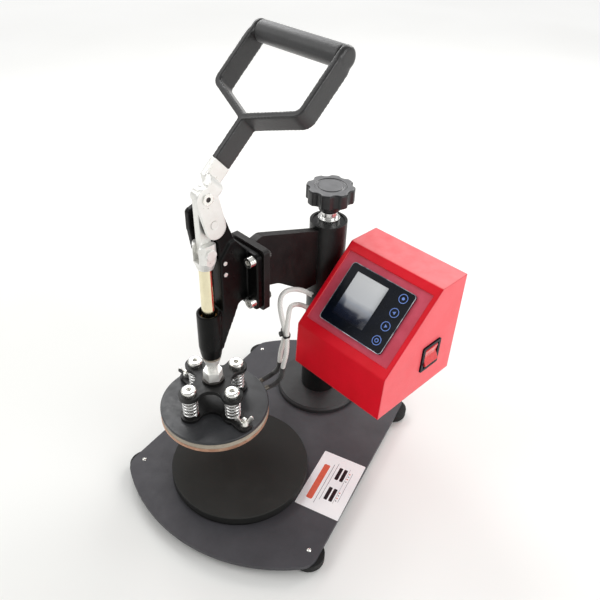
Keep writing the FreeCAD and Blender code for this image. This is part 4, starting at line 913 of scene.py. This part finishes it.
def display():
    """The window, painted dark at its foot and pale above: a painted reflection of a bright room."""
    n = Nodes("liquid_crystal_window")
    place = n.add("ShaderNodeUVMap")
    place.uv_map = "lay"
    split = n.add("ShaderNodeSeparateXYZ", Vector=place.outputs[0])
    haze = n.noise(1 / 0.02, 2.0)
    up = n.math("ADD", split.outputs[1], n.math("MULTIPLY", haze, 0.10))
    # Painted reflection: dark at the foot, pale toward the top.
    colour = n.ramp(up, [(0.05, srgb(16, 20, 34)), (0.26, srgb(34, 42, 62)), (0.40, srgb(120, 128, 142)),
                         (0.52, srgb(184, 188, 194)), (0.9, srgb(200, 203, 206))])
    n.set(Base_Color=colour, Roughness=n.even(haze, 0.08, 0.14))
    n.set(Coat_Weight=0.6, Coat_Roughness=0.05)
    n.set(Normal=n.bump(n.noise(1 / 0.006, 2.0), 0.08, 0.0001))
    x0, x1, y0, y1 = WINDOW
    mesh = slab_mesh("display_glass", rounded_outline(*WINDOW, 0.8), -0.4, 0.9, SLANT, 0.25)
    layer = mesh.uv_layers.new(name="lay")
    back = SLANT.inverted()
    for loop in mesh.loops:
        p = back @ mesh.vertices[loop.vertex_index].co
        layer.data[loop.index].uv = ((p.x * 1000 - x0) / (x1 - x0), (p.y * 1000 - y0) / (y1 - y0))
    show("display_glass", mesh, "swing_head", n.material, ["display_window"])


def ring_mesh(name, x, y, r_in, r_out, z0, z1, matrix, around=40):
    """A flat ring with its upper edges broken."""
    verts, faces = [], []
    profile = [(r_in, z0), (r_in, z1 - 0.05), (r_in + 0.1, z1), (r_out - 0.1, z1), (r_out, z1 - 0.05),
               (r_out, z0)]
    for k in range(around):
        a = math.tau * k / around
        for r, z in profile:
            verts.append(matrix @ Vector(((x + r * math.cos(a)) / 1000, (y + r * math.sin(a)) / 1000,
                                          z / 1000)))
    count = len(profile)
    for k in range(around):
        n = (k + 1) % around
        for j in range(count):
            i = (j + 1) % count
            faces.append((k * count + j, n * count + j, n * count + i, k * count + i))
    mesh = bpy.data.meshes.new(name)
    mesh.from_pydata([tuple(v) for v in verts], [], faces)
    for poly in mesh.polygons:
        poly.use_smooth = True
    return mesh


def round_points(x, y, radius, count):
    return [(x + radius * math.cos(math.tau * k / count), y + radius * math.sin(math.tau * k / count))
            for k in range(count)]


def buttons():
    """Four touch keys: a ring each, with a dot, two pointing triangles and a small ring inside."""
    light = ink("printed_blue", srgb(112, 150, 235))
    rings = [ring_mesh("r", KEY_X, y, 4.7, 5.5, PRINT_LOW, PRINT_HIGH, SLANT) for y in KEY_ROWS]
    show("touch_rings_printed", join_meshes("touch_rings_printed", rings), "swing_head", light,
         ["touch_rings"])
    marks = [ring_mesh("m", KEY_X, KEY_ROWS[3], 1.5, 2.4, PRINT_LOW, PRINT_HIGH, SLANT, 28)]
    marks.append(slab_mesh("m", round_points(KEY_X, KEY_ROWS[0], 1.7, 24), PRINT_LOW, PRINT_HIGH, SLANT,
                           0.08))
    for y, way in ((KEY_ROWS[1], -1), (KEY_ROWS[2], 1)):
        triangle = [(KEY_X + 2.3 * way * math.cos(math.tau * k / 3), y + 2.3 * math.sin(math.tau * k / 3))
                    for k in range(3)]
        marks.append(slab_mesh("m", triangle, PRINT_LOW, PRINT_HIGH, SLANT, 0.08))
    show("touch_glyphs", join_meshes("touch_glyphs", marks), "swing_head", light)


def closed_band(bm, rows):
    """Faces between each row of four points and the next, and from the last row to the first."""
    for k in range(len(rows)):
        a, b = rows[k], rows[(k + 1) % len(rows)]
        for j in range(4):
            i = (j + 1) % 4
            bm.faces.new((a[j], b[j], b[i], a[i]))


def bezel_trim():
    """The cut edge of the clear film that covers the controller's face; its patchy silvery colour is a
    painted reflection.
    """
    x0, x1, y0, y1 = FILM
    outer = rounded_outline(x0, x1, y0, y1, FILM_CORNER, 10)
    inner = rounded_outline(x0 + FILM_RIM, x1 - FILM_RIM, y0 + FILM_RIM, y1 - FILM_RIM, FILM_CORNER - 0.6, 10)
    bm = bmesh.new()
    rows = []
    for (x, y), (u, v) in zip(outer, inner):
        rows.append([bm.verts.new(Vector(p) / 1000) for p in ((x, y, 0.5), (x, y, 1.15), (u, v, 1.25),
                                                              (u, v, 0.9))])
    closed_band(bm, rows)
    bmesh.ops.recalc_face_normals(bm, faces=bm.faces)
    bmesh.ops.transform(bm, matrix=SLANT, verts=bm.verts)
    mesh = bpy.data.meshes.new("film_edge")
    bm.to_mesh(mesh)
    bm.free()
    n = Nodes("clear_film_edge")
    patch = n.noise(1 / 0.012, 3.0)
    # Painted reflection: patchy grey to near-white.
    n.set(Base_Color=n.ramp(patch, [(0.35, srgb(96, 104, 118)), (0.55, srgb(176, 182, 190)),
                                    (0.7, srgb(226, 229, 233))]),
          Roughness=n.even(patch, 0.12, 0.3), Metallic=0.4)
    n.set(Normal=n.bump(patch, 0.2, 0.0001))
    show("film_edge", mesh, "swing_head", n.material)


display()
buttons()
bezel_trim()


# Fasteners' recesses

SOCKET_POINTS = 48
SOCKET_DEEP = 0.002  # metres
BOLT_X = 18.5
BOLT_ROWS = (272.5, 221.5)
BOLT_FACE_Y = -137.75
SCREW_FACE_Z = 129.8


def hex_socket(name, spots, body, radius, across, material):
    """A thin face with a six-sided hole, set into each round recess. spots holds matrices in metres."""
    parts = []
    for matrix in spots:
        bm = bmesh.new()
        outer, inner, deep = [], [], []
        for k in range(SOCKET_POINTS):
            a = math.tau * k / SOCKET_POINTS
            sector = (a + math.pi / 6) % (math.pi / 3) - math.pi / 6
            r = across / 2 / math.cos(sector)
            outer.append(bm.verts.new((radius / 1000 * math.cos(a), radius / 1000 * math.sin(a), 0)))
            inner.append(bm.verts.new((r / 1000 * math.cos(a), r / 1000 * math.sin(a), 0)))
            deep.append(bm.verts.new((r / 1000 * math.cos(a), r / 1000 * math.sin(a), -SOCKET_DEEP)))
        for k in range(SOCKET_POINTS):
            n = (k + 1) % SOCKET_POINTS
            bm.faces.new((outer[k], outer[n], inner[n], inner[k]))
            bm.faces.new((inner[k], inner[n], deep[n], deep[k]))
        bmesh.ops.transform(bm, matrix=matrix, verts=bm.verts)
        part = bpy.data.meshes.new("s")
        bm.to_mesh(part)
        bm.free()
        parts.append(part)
    show(name, join_meshes(name, parts), body, material)


def sockets():
    front = Matrix.Rotation(math.radians(90), 4, "X")
    bolts = [SWUNG @ Matrix.Translation((side * BOLT_X / 1000, BOLT_FACE_Y / 1000, z / 1000)) @ front
             for z in BOLT_ROWS for side in (1, -1)]
    hex_socket("bolt_sockets", bolts, "swing_head", 2.95, 5.0, M["zinc"])
    screws = []
    for k in range(COUNT):
        x, y = spring_spot(k)
        screws.append(SWUNG @ Matrix.Translation((x / 1000, y / 1000, SCREW_FACE_Z / 1000)))
    hex_socket("spring_screw_sockets", screws, "platen", 3.25, 5.6, M["zinc"])


sockets()


# Cable tie

TIE_AT = (31.9, -95.8, 166.0)
TIE_HALF = (7.4, 4.0)
TIE_CORNER = 3.9
TIE_HALF_WIDTH = 1.7
TIE_THICK = 0.95
TIE_RIDGE = 0.18


def tie_band():
    """A flat nylon band round both wires, with a ribbed outside and a lock head."""
    turn = (Matrix.Translation(swung(TIE_AT)) @ Matrix.Rotation(SWING + math.radians(-24), 4, "Z")
            @ Matrix.Rotation(math.radians(14), 4, "Y"))
    bm = bmesh.new()
    wide, deep = TIE_HALF
    ring = rounded_outline(-wide, wide, -deep, deep, TIE_CORNER, 12)
    rows = []
    for k, (x, y) in enumerate(ring):
        out = Vector((x, y, 0)).normalized()
        top = TIE_THICK + (TIE_RIDGE if k % 2 else 0.0)
        row = []
        for h, t in ((-TIE_HALF_WIDTH, 0.0), (-TIE_HALF_WIDTH, top), (TIE_HALF_WIDTH, top),
                     (TIE_HALF_WIDTH, 0.0)):
            p = Vector((x, y, h)) + out * (t - 0.5)
            row.append(bm.verts.new(p / 1000))
        rows.append(row)
    closed_band(bm, rows)
    head = bmesh.ops.create_cube(bm, size=1.0)
    for v in head["verts"]:
        v.co = Vector((v.co.x * 4.8, v.co.y * 3.4 - 5.9, v.co.z * 4.4)) / 1000
    bmesh.ops.bevel(bm, geom=list({e for v in head["verts"] for e in v.link_edges}), offset=0.0005,
                    segments=2, affect="EDGES", profile=0.5)
    bmesh.ops.transform(bm, matrix=turn, verts=bm.verts)
    bmesh.ops.recalc_face_normals(bm, faces=bm.faces)
    mesh = bpy.data.meshes.new("tie_band")
    bm.to_mesh(mesh)
    bm.free()
    show("tie_band", mesh, "swing_head", M["nylon"], ["cable_tie"])


tie_band()


# Rocker

def red_plastic():
    """Clear red plastic over a lamp: cloudy inside, with a glossy skin."""
    n = Nodes("translucent_red_plastic")
    depth = n.noise(1 / 0.006, 3.0)
    n.set(Base_Color=n.mix(n.even(depth), srgb(214, 34, 40), srgb(236, 62, 66)),
          Roughness=n.even(depth, 0.12, 0.2))
    n.set(Normal=n.bump(n.noise(1 / 0.003, 2.0), 0.1, 0.00005))
    n.set(Subsurface_Weight=0.15, Subsurface_Radius=(0.004, 0.001, 0.001), Coat_Weight=0.5)
    return n.material


M["red_plastic"] = red_plastic()
softened("rocker", "lit_rocker", 0.0004, 2, M["red_plastic"])
